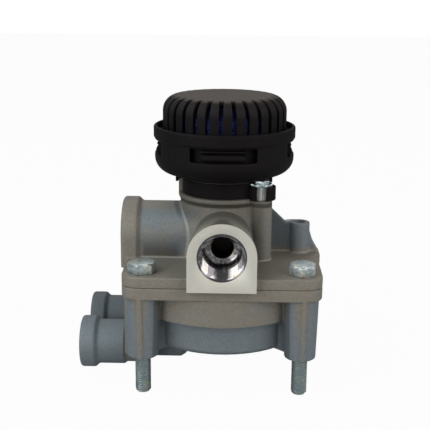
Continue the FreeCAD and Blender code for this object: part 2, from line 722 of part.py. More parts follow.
def control_bore_tool(name, side, end):
    """Threaded control port and its drilled passage."""
    reach = S.control_port_reach
    inner = reach - S.control_thread_depth
    return lying(name, [
        (0, end), (S.control_passage_radius, end), (S.control_passage_radius, inner - 3),
        (S.control_minor_radius, inner), (S.control_minor_radius, reach - 1),
        (S.control_minor_radius + 1.2, reach), (S.control_minor_radius + 1.2, reach + OVERSHOOT),
        (0, reach + OVERSHOOT),
    ], 0, S.control_port_y * side, S.control_port_level, LEFTWARD)


def case_cavity():
    """Control chamber with its stop pad, relay chamber and the rebate for the housing seal."""
    floor = S.cover_level + S.cover_floor
    rebate = S.case_height - HOUSING_SEAL_SPACE
    return turned("CaseCavity", [
        (0, floor), (S.control_hub - S.hub_hollow, floor),
        (S.control_hub - S.hub_hollow, floor + S.stop_pad),
        (S.control_hub, floor + S.stop_pad), (S.control_hub, floor), (S.control_bore, floor),
        (S.control_bore, RELAY_FLOOR), (S.relay_bore, RELAY_FLOOR),
        (S.relay_bore, rebate), (S.relay_bore + HOUSING_SEAL_SPACE, rebate),
        (S.relay_bore + HOUSING_SEAL_SPACE, S.case_height + OVERSHOOT),
        (0, S.case_height + OVERSHOOT),
    ])


def control_housing():
    """Lower casting: two stepped chambers, four bolt bosses and the two control ports."""
    top = S.case_height - 1
    floor = S.cover_level + S.cover_floor
    front_end = S.front_riser - S.control_passage_radius
    rear_riser = leg_of((S.control_bore + S.relay_bore) / 2, S.control_port_y)
    pieces = [
        case_form(),
        plate("CaseFlange", flange_plan(), S.case_height - S.case_flange, S.case_height),
        box("PortBlock", (-S.flange_half, -S.port_block_half, -S.port_block_drop),
            (S.port_block_depth - S.flange_half, S.port_block_half, top)),
        control_barrel("FrontControlBarrel", -1, S.control_root_reach),
        control_barrel("RearControlBarrel", 1, rear_riser - S.control_passage_radius - 2),
    ]
    for i, (sx, sy) in enumerate(CORNERS):
        pieces.append(cone(f"BoltBoss{i}", S.boss_foot_radius, S.boss_root_radius, 0, top,
                           S.bolt_offset * sx, S.bolt_offset * sy))
        pieces.append(boss_rib(f"BossRib{i}", sx, sy))
        pieces.append(radial_box(f"BossWeb{i}", math.degrees(math.atan2(sy, sx)),
                                 S.control_bore + 1, S.bolt_offset * math.sqrt(2),
                                 S.web_width, S.cover_web_level, top))
    return cut(
        "ControlHousing", fuse("CaseSolid", *pieces), case_cavity(),
        control_bore_tool("FrontControlBore", -1, front_end),
        control_bore_tool("RearControlBore", 1, rear_riser),
        cylinder("FrontRiser", S.control_passage_radius, S.control_port_level, floor + 1,
                 -S.front_riser, -S.control_port_y),
        cylinder("RearRiser", S.control_passage_radius, S.control_port_level, RELAY_FLOOR + 1,
                 -rear_riser, S.control_port_y),
        *corner_holes("CaseBoltHole", -1, S.case_height + 1),
    )


def housing_seal():
    """Seal ring in the rebate between the two castings."""
    return seal_ring("HousingSeal", S.relay_bore + HOUSING_SEAL_SPACE / 2, S.housing_seal_half,
                     S.case_height - HOUSING_SEAL_SPACE / 2)


def hex_bolts():
    """Four hexagon bolts whose ends stand out below as mounting studs."""
    bolts = []
    for i, ((sx, sy), turn) in enumerate(zip(CORNERS, HEAD_TURNS)):
        x, y = S.bolt_offset * sx, S.bolt_offset * sy
        head_top = FLANGE_TOP + S.head_height
        tip = BOLT_TIP + S.bolt_tip_chamfer
        prism = hexagon(f"BoltPrism{i}", S.head_flats, FLANGE_TOP, head_top, x, y, turn)
        crown_radius = S.head_flats * 0.48
        crown = cone(f"BoltCrown{i}", crown_radius + S.head_height * math.sqrt(3), crown_radius,
                     FLANGE_TOP, head_top, x, y)
        bolts.append(fuse(
            f"Bolt{i}", common(f"BoltHead{i}", prism, crown),
            cylinder(f"BoltStud{i}", S.bolt_radius, tip, 0, x, y),
            cylinder(f"BoltShank{i}", S.bolt_radius - S.shank_relief, -1, FLANGE_TOP + 1, x, y),
            cone(f"BoltTip{i}", S.bolt_radius - S.bolt_tip_chamfer, S.bolt_radius, BOLT_TIP, tip, x, y)))
    group = doc.addObject("Part::Compound", "HexBolts")
    group.Links = bolts
    return group


# Pistons

def grooved_rim(radius, floor, low, high):
    """Corners of a piston rim from its lower to its upper edge, with the ring groove between."""
    middle = (low + high) / 2
    half = S.ring_section + S.seal_gap
    return [(radius, low), (radius, middle - half), (floor, middle - half),
            (floor, middle + half), (radius, middle + half), (radius, high)]


def relay_piston():
    """Relay piston with the hollow stem that opens the inlet and seats the exhaust."""
    low = RELAY_LOW
    high = low + S.relay_rim
    outer = S.relay_bore - S.piston_gap
    inner = outer - S.rim_wall
    web = HUB_LEVEL + S.hub_step
    web_top = web + S.piston_web
    hub_top = web_top + 2
    stem_top = SEAT_TOP - S.exhaust_gap
    bore = S.stem_radius - S.stem_wall
    return turned("RelayPiston", [
        (0, HUB_LEVEL), (S.relay_hub, HUB_LEVEL), (S.relay_hub, web), (inner, web), (inner, low),
        *grooved_rim(outer, outer - S.groove_depth, low, high),
        (inner, high), (inner, web_top), (S.relay_hub, web_top), (S.stem_radius, hub_top),
        (S.stem_radius, stem_top), (bore, stem_top), (bore, hub_top), (0, hub_top),
    ])


def control_piston():
    """Control piston that pushes the relay piston through its hub."""
    low = CONTROL_LOW
    high = low + S.control_rim
    outer = S.control_bore - S.piston_gap
    inner = outer - S.rim_wall
    web = low + S.web_rise
    web_top = web + S.piston_web
    hub_top = HUB_LEVEL - S.hub_gap
    crown = hub_top - S.hub_crown
    hollow = S.control_hub - S.hub_hollow
    return turned("ControlPiston", [
        (0, crown), (hollow, crown), (hollow, low), (S.control_hub, low),
        (S.control_hub, web), (inner, web), (inner, low),
        *grooved_rim(outer, outer - S.groove_depth, low, high),
        (inner, high), (inner, web_top), (S.control_hub, web_top), (S.control_hub, hub_top),
        (0, hub_top),
    ])


def piston_ring(name, bore, low, rim):
    """Seal ring in a piston's groove."""
    floor = bore - S.piston_gap - S.groove_depth
    return seal_ring(name, floor + S.ring_section + S.seal_gap, S.ring_section, low + rim / 2)


# Valve in the neck

def valve_disc():
    """Rubber disc that closes the inlet seat, and the exhaust when the stem meets it."""
    inner = S.valve_tube_bore + 0.2
    return turned("ValveDisc", [(inner, SEAT_TOP), (S.disc_radius, SEAT_TOP),
                                (S.disc_radius, CARRIER_LOW), (inner, CARRIER_LOW)])


def valve_stem():
    """Hollow stem with the plate that carries the rubber disc; the exhaust runs up its bore."""
    top = CARRIER_LOW + S.valve_tube_length
    pilot = S.spring_radius - S.spring_wire - 0.9
    return turned("ValveStem", [
        (S.valve_tube_bore, CARRIER_LOW), (S.disc_radius, CARRIER_LOW), (S.disc_radius, CARRIER_TOP),
        (pilot, CARRIER_TOP), (pilot, CARRIER_TOP + 1.2), (S.valve_tube, CARRIER_TOP + 1.2),
        (S.valve_tube, top - 0.6), (S.valve_tube - 0.6, top), (S.valve_tube_bore, top),
    ])


def valve_spring():
    """Helical spring between the plate of the stem and the guide."""
    helix = doc.addObject("Part::Helix", "SpringHelix")
    travel = S.spring_space - S.spring_wire * 2
    bind(helix, "Radius", S.spring_radius)
    bind(helix, "Height", travel)
    bind(helix, "Pitch", travel / S.spring_turns)
    place(helix, 0, 0, CARRIER_TOP + S.spring_wire)
    wire = doc.addObject("Sketcher::SketchObject", "SpringWire")
    wide = S.spring_wire
    draw(wire, [(-wide, -wide), (wide, -wide), (wide, wide), (-wide, wide)])
    place(wire, S.spring_radius, 0, CARRIER_TOP + S.spring_wire, Rotation(Vector(1, 0, 0), 90))
    spring = doc.addObject("Part::Sweep", "ValveSpring")
    spring.Sections = [wire]
    spring.Spine = (helix, [])
    spring.Solid = True
    spring.Frenet = True
    return spring


def valve_guide():
    """Bush that guides the stem, with grooves for its two seal rings."""
    outer, inner = S.neck_bore - S.seal_gap, S.valve_tube + S.guide_gap
    half = S.guide_seal + S.seal_gap
    outer_seal, inner_seal = GUIDE_LOW + S.guide_height * 0.3, GUIDE_LOW + S.guide_height * 0.64
    outer_floor, inner_floor = outer - half * 2, inner + half * 2
    pilot = S.spring_radius - S.spring_wire - 0.9
    return turned("ValveGuide", [
        (inner, GUIDE_LOW - S.guide_pilot), (pilot, GUIDE_LOW - S.guide_pilot), (pilot, GUIDE_LOW),
        (outer, GUIDE_LOW), (outer, outer_seal - half), (outer_floor, outer_seal - half),
        (outer_floor, outer_seal + half), (outer, outer_seal + half), (outer, GUIDE_TOP),
        (outer - 3, GUIDE_TOP), (outer - 3, GUIDE_TOP - 3), (inner + 3.6, GUIDE_TOP - 3),
        (inner + 3.6, GUIDE_TOP), (inner, GUIDE_TOP), (inner, inner_seal + half),
        (inner_floor, inner_seal + half), (inner_floor, inner_seal - half), (inner, inner_seal - half),
    ])


def guide_outer_seal():
    """Seal ring between the guide and the neck."""
    return seal_ring("GuideOuterSeal", S.neck_bore - S.seal_gap * 2 - S.guide_seal, S.guide_seal,
                     GUIDE_LOW + S.guide_height * 0.3)


def guide_inner_seal():
    """Seal ring between the guide and the stem."""
    return seal_ring("GuideInnerSeal", S.valve_tube + S.guide_gap + S.seal_gap + S.guide_seal, S.guide_seal,
                     GUIDE_LOW + S.guide_height * 0.64)


def retaining_ring():
    """Open ring that holds the guide in the neck."""
    low = GUIDE_TOP + S.stop_gap / 2
    inner, outer = S.neck_bore - 2, S.neck_bore + S.snap_depth - 0.1
    ring = turned("SnapRingForm", [(inner, low), (outer, low), (outer, low + S.snap_ring),
                                   (inner, low + S.snap_ring)])
    gap = box("SnapRingGap", (-3, 0, low - 1), (3, S.neck_bore + 5, low + S.snap_ring + 1))
    return cut("RetainingRing", ring, gap)


# Silencer

def silencer_base():
    """Base of the silencer: grooved spigot in the neck, plate, rear skirt and snap tube."""
    low = NECK_TOP - S.spigot_depth
    outer = S.neck_bore - S.spigot_gap
    seal_half = S.spigot_seal + S.seal_gap
    seal_middle = low + SPIGOT_SEAL_HEIGHT
    floor = outer - S.spigot_seal * 2
    key_half = S.key_height / 2 + S.key_gap
    key_floor = outer - S.key_depth
    tube = S.spigot_bore + S.base_tube_wall
    collar_floor = COLLAR_LOW + S.collar_wall
    body = turned("SilencerSpigot", [
        (S.spigot_bore, low), (outer, low), (outer, seal_middle - seal_half),
        (floor, seal_middle - seal_half), (floor, seal_middle + seal_half),
        (outer, seal_middle + seal_half), (outer, KEY_MIDDLE - key_half),
        (key_floor, KEY_MIDDLE - key_half), (key_floor, KEY_MIDDLE + key_half),
        (outer, KEY_MIDDLE + key_half), (outer, NECK_TOP), (S.base_radius, NECK_TOP),
        (S.base_radius, COLLAR_LOW), (tube, COLLAR_LOW), (tube, collar_floor + 0.2),
        (tube + 0.8, collar_floor + 0.2), (tube + 0.8, collar_floor + 0.9), (tube, collar_floor + 2.2),
        (S.spigot_bore, collar_floor + 2.2),
    ])
    inside = S.neck_ring + 0.2
    ring = turned("SkirtRing", [(inside, NECK_TOP - S.skirt_drop), (S.base_radius, NECK_TOP - S.skirt_drop),
                                (S.base_radius, COLLAR_LOW - 0.5), (inside, COLLAR_LOW - 0.5)])
    wide = S.base_radius + OVERSHOOT
    front = box("SkirtFront", (-wide, -wide, NECK_TOP - S.skirt_drop - 1), (wide, 0, NECK_TOP))
    return fuse("SilencerBase", body, cut("BaseSkirt", ring, front))


def silencer_seal():
    """Seal ring on the spigot of the silencer."""
    return seal_ring("SilencerSeal", S.neck_bore - S.spigot_gap - S.spigot_seal, S.spigot_seal - S.seal_gap,
                     NECK_TOP - S.spigot_depth + SPIGOT_SEAL_HEIGHT)


def silencer_collar():
    """Round bowl of the silencer with its rim band and four clip windows."""
    outer, band = S.collar_radius, S.collar_band_radius
    inner = outer - S.collar_wall
    hole = S.spigot_bore + S.base_tube_wall + 0.15
    top = COLLAR_LOW + S.collar_height
    band_low = top - S.collar_band
    ledge_inner = S.cap_radius - 1.2
    bowl = turned("CollarBowl", [
        (hole, COLLAR_LOW), (outer - S.collar_round, COLLAR_LOW, S.collar_round),
        (outer, COLLAR_LOW + S.collar_round), (outer, band_low - 0.4), (band, band_low),
        (band, top - 0.7), (band - 0.7, top), (inner + 1.0, top), (inner + 1.0, top - 3),
        (inner, top - 4), (inner, LEDGE), (ledge_inner, LEDGE),
        (ledge_inner, COLLAR_LOW + S.collar_wall), (hole, COLLAR_LOW + S.collar_wall),
    ])
    low = COLLAR_LOW + S.window_low
    half, far = S.window_width / 2, band + OVERSHOOT
    across = box("WindowsAcross", (-far, -half, low), (far, half, low + S.window_height))
    along = box("WindowsAlong", (-half, -far, low), (half, far, low + S.window_height))
    return cut("SilencerCollar", bowl, across, along)


def snap_clip(name, angle):
    """Snap clip of the cap, seen in a window: an upper bar over a rounded roll."""
    low = COLLAR_LOW + S.window_low
    roll_level = low + S.clip_roll + 0.6
    face = S.cap_radius + 0.9
    root = S.cap_radius - S.cap_wall + 0.05
    half = S.clip_width / 2
    across, along = math.cos(math.radians(angle)), math.sin(math.radians(angle))
    roll = doc.addObject("Part::Cylinder", name + "Roll")
    bind(roll, "Radius", S.clip_roll)
    bind(roll, "Height", S.clip_width)
    direction = Vector(-along, across, 0)
    place(roll, face * across + half * along, face * along - half * across, roll_level,
          Rotation(Vector(0, 0, 1), direction))
    return [
        roll,
        radial_box(name + "Block", angle, root, face, S.clip_width, roll_level - S.clip_roll * 0.8,
                   roll_level + S.clip_roll * 0.9),
        radial_box(name + "Bar", angle, root, face + 1.4, S.clip_width,
                   low + S.window_height - 2.1, low + S.window_height - 1),
    ]


def silencer_cap():
    """Slotted cap of the silencer with four snap clips."""
    outer, thick, round_off = S.cap_radius, S.cap_wall, S.cap_round
    shell = turned("CapShell", [
        (outer - thick, LEDGE), (outer, LEDGE), (outer, CAP_TOP - round_off, round_off),
        (outer - round_off, CAP_TOP), (0, CAP_TOP), (0, CAP_TOP - thick),
        (outer - round_off, CAP_TOP - thick), (outer - thick, CAP_TOP - round_off),
    ])
    sketch = shell.newObject("Sketcher::SketchObject", "SlotPlan")
    sketch.AttachmentSupport = [(origin_part(shell, "XY_Plane"), "")]
    sketch.MapMode = "FlatFace"
    bind(sketch, "AttachmentOffset.Base.z", CAP_TOP + 1)
    half, far = S.slot_width / 2, outer + 1
    draw(sketch, [(S.slot_start, -half), (far, -half), (far, half), (S.slot_start, half)])
    slot = shell.newObject("PartDesign::Pocket", "Slot")
    slot.Profile = sketch
    slot.Type = "Length"
    bind(slot, "Length", CAP_TOP + 1 - LEDGE - S.slot_foot)
    slots = shell.newObject("PartDesign::PolarPattern", "Slots")
    slots.Originals = [slot]
    slots.Axis = (origin_part(shell, "Z_Axis"), [""])
    slots.Angle = 360
    bind(slots, "Occurrences", S.slot_count)
    shell.Tip = slots
    shell.Placement = Placement(Vector(0, 0, 0), Rotation(Vector(0, 0, 1), SLOT_TURN))
    clips = [piece for i in range(4) for piece in snap_clip(f"Clip{i}", 90 * i)]
    return fuse("SilencerCap", shell, *clips)


def silencer_filter():
    """Knitted filter ring inside the cap."""
    outer = S.cap_radius - S.cap_wall - S.filter_gap
    low = COLLAR_LOW + S.collar_wall
    top = CAP_TOP - S.cap_wall - S.filter_head_room
    corner = S.cap_round - S.cap_wall
    return turned("SilencerFilter", [
        (S.filter_bore, low), (outer, low), (outer, top - corner), (outer - corner, top),
        (S.filter_bore, top),
    ])


# Locking band and its clamp

def locking_band():
    """Plastic band in the neck's channel, with two keys and a lug for the clamp screw."""
    inner = S.band_seat_radius + S.band_gap
    outer = inner + S.band_thickness
    low, high = BAND_SEAT + S.band_gap, BAND_SEAT + S.band_height - S.band_gap
    x, y = S.tower_x, -S.tower_y
    below, above = TOWER_TOP - 1, NECK_TOP
    ring = turned("BandRing", [(inner, low), (outer, low), (outer, high), (inner, high)])
    strap = cut(
        "BandStrap", ring,
        box("BandBack", (-outer - 1, -1, low - 1), (outer + 1, outer + 1, high + 1)),
        box("BandEnd", (x + 1, y + 1, low - 1), (outer + 1, 1, high + 1)))
    lug = cut(
        "BandLug", cylinder("LugForm", S.lug_radius, TOWER_TOP + S.band_gap, SLEEVE_TOP - S.band_gap, x, y),
        cylinder("LugNeckSpace", inner, below, above),
        cylinder("LugRingSpace", S.neck_ring + 0.15, below, low))
    key_root = S.neck_bore - S.spigot_gap - S.key_depth + S.key_gap
    keys = [radial_box(f"BandKey{i}", angle, key_root, outer - 1,
                       S.key_width, KEY_MIDDLE - S.key_height / 2, KEY_MIDDLE + S.key_height / 2)
            for i, angle in enumerate(KEY_ANGLES)]
    half = S.lug_window / 2
    return cut(
        "LockingBand", fuse("BandSolid", strap, lug, *keys),
        cylinder("LugSleeveHole", S.sleeve_radius + S.band_gap, below, above, x, y),
        cylinder("LugHeadSpace", S.screw_flange_radius + S.stop_gap, SLEEVE_TOP - S.band_gap, above, x, y),
        box("LugWindow", (x - half, y - S.lug_radius - 1, below), (x + half, y, above)))


def clamp_sleeve():
    """Steel sleeve that takes the force of the clamp screw."""
    x, y = S.tower_x, -S.tower_y
    return cut(
        "ClampSleeve", cylinder("SleeveForm", S.sleeve_radius, TOWER_TOP, SLEEVE_TOP, x, y),
        cylinder("SleeveBore", S.clamp_screw_radius + 0.2, TOWER_TOP - 1, SLEEVE_TOP + 1, x, y))


def clamp_screw():
    """Flanged hexagon screw through the sleeve into the clamp tower."""
    x, y = S.tower_x, -S.tower_y
    flange_top = SLEEVE_TOP + S.screw_flange
    return fuse(
        "ClampScrew",
        cylinder("ClampShank", S.clamp_screw_radius,
                 TOWER_TOP - S.clamp_screw_depth, SLEEVE_TOP + 0.5, x, y),
        cone("ClampFlange", S.screw_flange_radius, S.screw_flange_radius - 0.5,
             SLEEVE_TOP, flange_top, x, y),
        hexagon("ClampHead", S.screw_head_flats, flange_top - 0.5, flange_top + S.screw_head, x, y, 10))


NODES = {
    "valve_housing": valve_housing(),
    "control_housing": control_housing(),
    "housing_seal": housing_seal(),
    "hex_bolts": hex_bolts(),
    "relay_piston": relay_piston(),
    "relay_piston_ring": piston_ring("RelayPistonRing", S.relay_bore, RELAY_LOW, S.relay_rim),
    "control_piston": control_piston(),
    "control_piston_ring": piston_ring("ControlPistonRing", S.control_bore, CONTROL_LOW, S.control_rim),
    "valve_disc": valve_disc(),
    "valve_stem": valve_stem(),
    "valve_spring": valve_spring(),
    "valve_guide": valve_guide(),
    "guide_outer_seal": guide_outer_seal(),
    "guide_inner_seal": guide_inner_seal(),
    "retaining_ring": retaining_ring(),
    "silencer_base": silencer_base(),
    "silencer_seal": silencer_seal(),
    "silencer_collar": silencer_collar(),
    "silencer_cap": silencer_cap(),
    "silencer_filter": silencer_filter(),
    "locking_band": locking_band(),
    "clamp_sleeve": clamp_sleeve(),
    "clamp_screw": clamp_screw(),
}
for label, thing in NODES.items():
    thing.Label = label
doc.recompute()

faults = [thing.Name for thing in doc.Objects if "Invalid" in thing.State or "Error" in thing.State]
for label, thing in NODES.items():
    if thing.Shape.isNull() or not thing.Shape.isValid():
        faults.append(label)
if faults:
    raise RuntimeError("failed: " + ", ".join(faults))

os.makedirs("parts", exist_ok=True)
for label, thing in NODES.items():
    thing.Shape.exportStep(f"parts/{label}.step")
    size = thing.Shape.BoundBox
    print(f"{label}: {len(thing.Shape.Solids)} solid, {thing.Shape.Volume / 1000:.2f} cm3, "
          f"z {size.ZMin:.2f} to {size.ZMax:.2f}")
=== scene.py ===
import math

import bmesh
import bpy
from mathutils import Matrix, Vector


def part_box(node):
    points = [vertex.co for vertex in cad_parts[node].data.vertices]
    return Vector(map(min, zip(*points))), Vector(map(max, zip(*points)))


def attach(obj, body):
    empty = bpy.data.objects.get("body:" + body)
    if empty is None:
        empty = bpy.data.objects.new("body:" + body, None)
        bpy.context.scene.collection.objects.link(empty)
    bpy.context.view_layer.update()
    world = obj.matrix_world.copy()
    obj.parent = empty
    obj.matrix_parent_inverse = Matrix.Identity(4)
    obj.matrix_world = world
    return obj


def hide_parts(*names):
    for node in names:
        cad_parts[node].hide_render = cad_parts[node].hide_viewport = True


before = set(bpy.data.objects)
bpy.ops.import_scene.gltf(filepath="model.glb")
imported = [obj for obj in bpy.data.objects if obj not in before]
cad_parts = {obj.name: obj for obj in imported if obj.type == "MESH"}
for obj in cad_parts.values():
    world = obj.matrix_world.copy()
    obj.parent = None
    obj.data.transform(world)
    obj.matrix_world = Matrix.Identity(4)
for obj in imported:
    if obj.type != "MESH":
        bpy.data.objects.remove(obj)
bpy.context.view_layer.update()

# Lengths are in millimetres and become metres in each finished mesh.
MM = 0.001
TURN = math.tau
LEFT = Vector((-1, 0, 0))
FRONT = Vector((0, -1, 0))
BACK = Vector((0, 1, 0))
UP = Vector((0, 0, 1))


def corners_of(node):
    """Lowest and highest corner of a carried-over node, in millimetres."""
    low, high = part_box(node)
    return low / MM, high / MM


housing_low, housing_high = corners_of("valve_housing")
case_low, case_high = corners_of("control_housing")
bolts_low, bolts_high = corners_of("hex_bolts")
cap_high = corners_of("silencer_cap")[1]
sleeve_low, sleeve_high = corners_of("clamp_sleeve")
screw_low, screw_high = corners_of("clamp_screw")

JOINT = housing_low.z
NECK_TOP = housing_high.z
FLANGE_TOP = JOINT + 5.6
NECK_FOOT = 25.3
NECK_WAIST = 22.9
WAIST = FLANGE_TOP + 28.7
BOLT_X = BOLT_Y = 40.0
SUPPLY_AXIS = JOINT + 15.7
DELIVERY_AXIS = JOINT + 17.7
SUPPLY_FACE = 53.4
DELIVERY_FACE = housing_high.y
CONTROL_AXIS = -2.3
CONTROL_FACE = -case_low.x
CONTROL_Y = 18.9
TOWER = Vector(((sleeve_low.x + sleeve_high.x) / 2, (sleeve_low.y + sleeve_high.y) / 2, 0))
TOWER_RADIUS = 6.3
SIDE_BOSS = Vector((40.8, 0, FLANGE_TOP + 16.3))
SIDE_BOSS_RADIUS = 5.9
SIDE_HOLE_RADIUS, SIDE_HOLE_DEPTH = 3.0, 5.5
SUPPLY_BARREL = 16.4
DELIVERY_HALF_WIDTH = 17.0

# Core, crest, countersink and depth of the threaded ports
PORT_CORE, PORT_CREST, PORT_SINK, PORT_DEPTH = 10.19, 11.0, 12.2, 15
CONTROL_CORE, CONTROL_CREST, CONTROL_SINK, CONTROL_DEPTH = 7.19, 8.0, 8.6, 12

# Radii of the passages behind ports 1 and 2, and how far the one behind port 1 lies above its axis
THROAT_RADIUS, THROAT_STEP_RADIUS = 5.75, 8.15
SUPPLY_THROAT_RADIUS, SUPPLY_THROAT_RISE = 6.8, 3.2

# Plugs fill the holes of a casting while its skin is formed, and are drilled out again
SUPPLY_PLUG, DELIVERY_PLUG, CONTROL_PLUG = 13.2, 13.0, 8.8
BOLT_HOLE_RADIUS, BOLT_PLUG = 4.5, 5.2
SIDE_PLUG = 3.4

# Bolts: across flats, core, crest and pitch of the thread, shank, and the azimuth of each head
HEAD_FLATS = 13.0
BOLT_CORE, BOLT_CREST, BOLT_PITCH = 3.3, 4.0, 1.25
SHANK_RADIUS = 3.95
THREAD_TOP = 12
BOLT_SPOTS = [(x, y) for x in (-BOLT_X, BOLT_X) for y in (-BOLT_Y, BOLT_Y)]
HEAD_TURNS = {(-BOLT_X, -BOLT_Y): -15, (BOLT_X, -BOLT_Y): -6, (BOLT_X, BOLT_Y): 12, (-BOLT_X, BOLT_Y): 22}

# Azimuth of the collar's parting line
COLLAR_PARTING = math.radians(-138.6)

# Share of white that the camera sees on the floor, and the glow of the surroundings
FLOOR_WHITE = 0.97
MIRRORED_GLOW, DIM_GLOW = 0.22, 0.05


# Shapes

def turned(profile, steps=128):
    """A closed form turned about Z from (radius, level) corners."""
    form = bmesh.new()
    corners = [form.verts.new((radius, 0, level)) for radius, level in profile]
    pairs = list(zip(corners, corners[1:]))
    if profile[0][0] > 0 and profile[-1][0] > 0:
        pairs.append((corners[-1], corners[0]))
    edges = [form.edges.new(pair) for pair in pairs]
    bmesh.ops.spin(form, geom=corners + edges, cent=(0, 0, 0), axis=UP, angle=TURN, steps=steps,
                   use_merge=True)
    bmesh.ops.remove_doubles(form, verts=form.verts, dist=1e-4)
    bmesh.ops.recalc_face_normals(form, faces=form.faces)
    return form


def block(low, high):
    """A box between two corners."""
    low, high = Vector(low), Vector(high)
    form = bmesh.new()
    middle, size = (low + high) / 2, high - low
    bmesh.ops.create_cube(form, size=1, matrix=Matrix.Translation(middle) @ Matrix.Diagonal((*size, 1)))
    return form


def rod(radius, low, high, x=0, y=0, top=None, steps=64):
    """An upright cylinder or cone between two levels."""
    form = bmesh.new()
    place = Matrix.Translation((x, y, (low + high) / 2))
    bmesh.ops.create_cone(form, cap_ends=True, segments=steps, radius1=radius,
                          radius2=radius if top is None else top, depth=high - low, matrix=place)
    return form


def moved(form, place):
    """The form, put in place by a matrix."""
    bmesh.ops.transform(form, matrix=place, verts=form.verts)
    return form


def aimed(form, direction, spot):
    """The form with its Z axis laid along a direction, its origin at a spot."""
    turn = UP.rotation_difference(Vector(direction)).to_matrix().to_4x4()
    return moved(form, Matrix.Translation(spot) @ turn)


def joined(*forms):
    """One mesh from several forms."""
    whole = bmesh.new()
    for form in forms:
        lump = bpy.data.meshes.new("lump")
        form.to_mesh(lump)
        form.free()
        whole.from_mesh(lump)
        bpy.data.meshes.remove(lump)
    return whole


def copied(node):
    """A merged copy of a carried-over node, in millimetres."""
    form = bmesh.new()
    form.from_mesh(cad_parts[node].data)
    bmesh.ops.remove_doubles(form, verts=form.verts, dist=1e-6)
    bmesh.ops.scale(form, vec=(1 / MM,) * 3, verts=form.verts)
    return form


def made(name, form):
    """A mesh object from a form, in metres."""
    bmesh.ops.scale(form, vec=(MM,) * 3, verts=form.verts)
    mesh = bpy.data.meshes.new(name)
    form.to_mesh(mesh)
    form.free()
    thing = bpy.data.objects.new(name, mesh)
    bpy.context.scene.collection.objects.link(thing)
    return thing


def settled(thing):
    """The object with its modifiers worked into its mesh."""
    shape = thing.evaluated_get(bpy.context.evaluated_depsgraph_get())
    mesh = bpy.data.meshes.new_from_object(shape)
    thing.modifiers.clear()
    spare, thing.data = thing.data, mesh
    bpy.data.meshes.remove(spare)
    mesh.name = thing.name
    return thing


def cast(name, form, grain, passes, keep):
    """A casting or moulding with the soft edges and filled corners of its mould."""
    thing = made(name, form)
    skin = thing.modifiers.new("Skin", "REMESH")
    skin.mode = "VOXEL"
    skin.voxel_size = grain * MM
    soft = thing.modifiers.new("Soft", "SMOOTH")
    soft.factor = 0.5
    soft.iterations = passes
    light = thing.modifiers.new("Light", "DECIMATE")
    light.ratio = keep
    return settled(thing)


def machined(thing, *cutters):
    """The casting with its machined bores and faces cut."""
    tool = made(thing.name + "_tool", joined(*cutters))
    cut = thing.modifiers.new("Cut", "BOOLEAN")
    cut.operation = "DIFFERENCE"
    cut.solver = "MANIFOLD"
    cut.object = tool
    settled(thing)
    bpy.data.objects.remove(tool)
    return thing


def finished(thing, body, finish, stands_for=(), sharp=38, others=()):
    """Give the piece smooth shading with sharp edges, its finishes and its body."""
    form = bmesh.new()
    form.from_mesh(thing.data)
    for face in form.faces:
        face.smooth = True
    for edge in form.edges:
        edge.smooth = not (len(edge.link_faces) == 2 and edge.calc_face_angle(0) > math.radians(sharp))
    form.to_mesh(thing.data)
    form.free()
    thing.data.materials.clear()
    for one in (finish, *others):
        thing.data.materials.append(one)
    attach(thing, body)
    if stands_for:
        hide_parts(*stands_for)


def threaded(core, crest, pitch, low, high, steps=48):
    """A threaded rod between two levels, with flat ends."""
    depth = (low - pitch * 1.5, high + pitch * 1.5)
    turns = math.ceil((depth[1] - depth[0]) / pitch)
    section = [(0, depth[0])]
    for turn in range(turns):
        foot = depth[0] + turn * pitch
        section += [(core, foot + pitch * 0.06), (crest, foot + pitch * 0.42),
                    (crest, foot + pitch * 0.56), (core, foot + pitch * 0.92)]
    section.append((0, depth[0] + turns * pitch))
    form = bmesh.new()
    corners = [form.verts.new((radius, 0, level)) for radius, level in section]
    edges = [form.edges.new(pair) for pair in zip(corners, corners[1:])]
    bmesh.ops.spin(form, geom=corners + edges, cent=(0, 0, 0), axis=UP, angle=TURN, steps=steps,
                   dvec=(0, 0, pitch / steps))
    bmesh.ops.remove_doubles(form, verts=form.verts, dist=1e-3)
    for level, side in ((low, -1), (high, 1)):
        geometry = form.verts[:] + form.edges[:] + form.faces[:]
        bmesh.ops.bisect_plane(form, geom=geometry, plane_co=(0, 0, level), plane_no=(0, 0, side),
                               clear_outer=True)
        rim = [edge for edge in form.edges if edge.is_boundary]
        bmesh.ops.holes_fill(form, edges=rim)
    bmesh.ops.recalc_face_normals(form, faces=form.faces)
    return form


# Finishes

class Signal:
    """A socket whose sums, products and powers add Math nodes."""

    def __init__(self, finish, socket):
        self.finish = finish
        self.socket = socket

    def maths(self, operation, *values):
        return self.finish.add("Math", {"operation": operation}, dict(enumerate(values)))

    def __add__(self, other):
        return self.maths("ADD", self, other)

    def __sub__(self, other):
        return self.maths("SUBTRACT", self, other)

    def __rsub__(self, other):
        return self.maths("SUBTRACT", other, self)

    def __mul__(self, other):
        return self.maths("MULTIPLY", self, other)

    def __pow__(self, other):
        return self.maths("POWER", self, other)

    def __abs__(self):
        return self.maths("ABSOLUTE", self)

    __radd__ = __add__

    def high(self, other):
        return self.maths("MAXIMUM", self, other)

    def low(self, other):
        return self.maths("MINIMUM", self, other)

    def rise(self, start, end):
        """0 below start, 1 above end, smooth between."""
        return self.finish.add("MapRange", {"interpolation_type": "SMOOTHSTEP"},
                               {"Value": self, "From Min": start, "From Max": end})


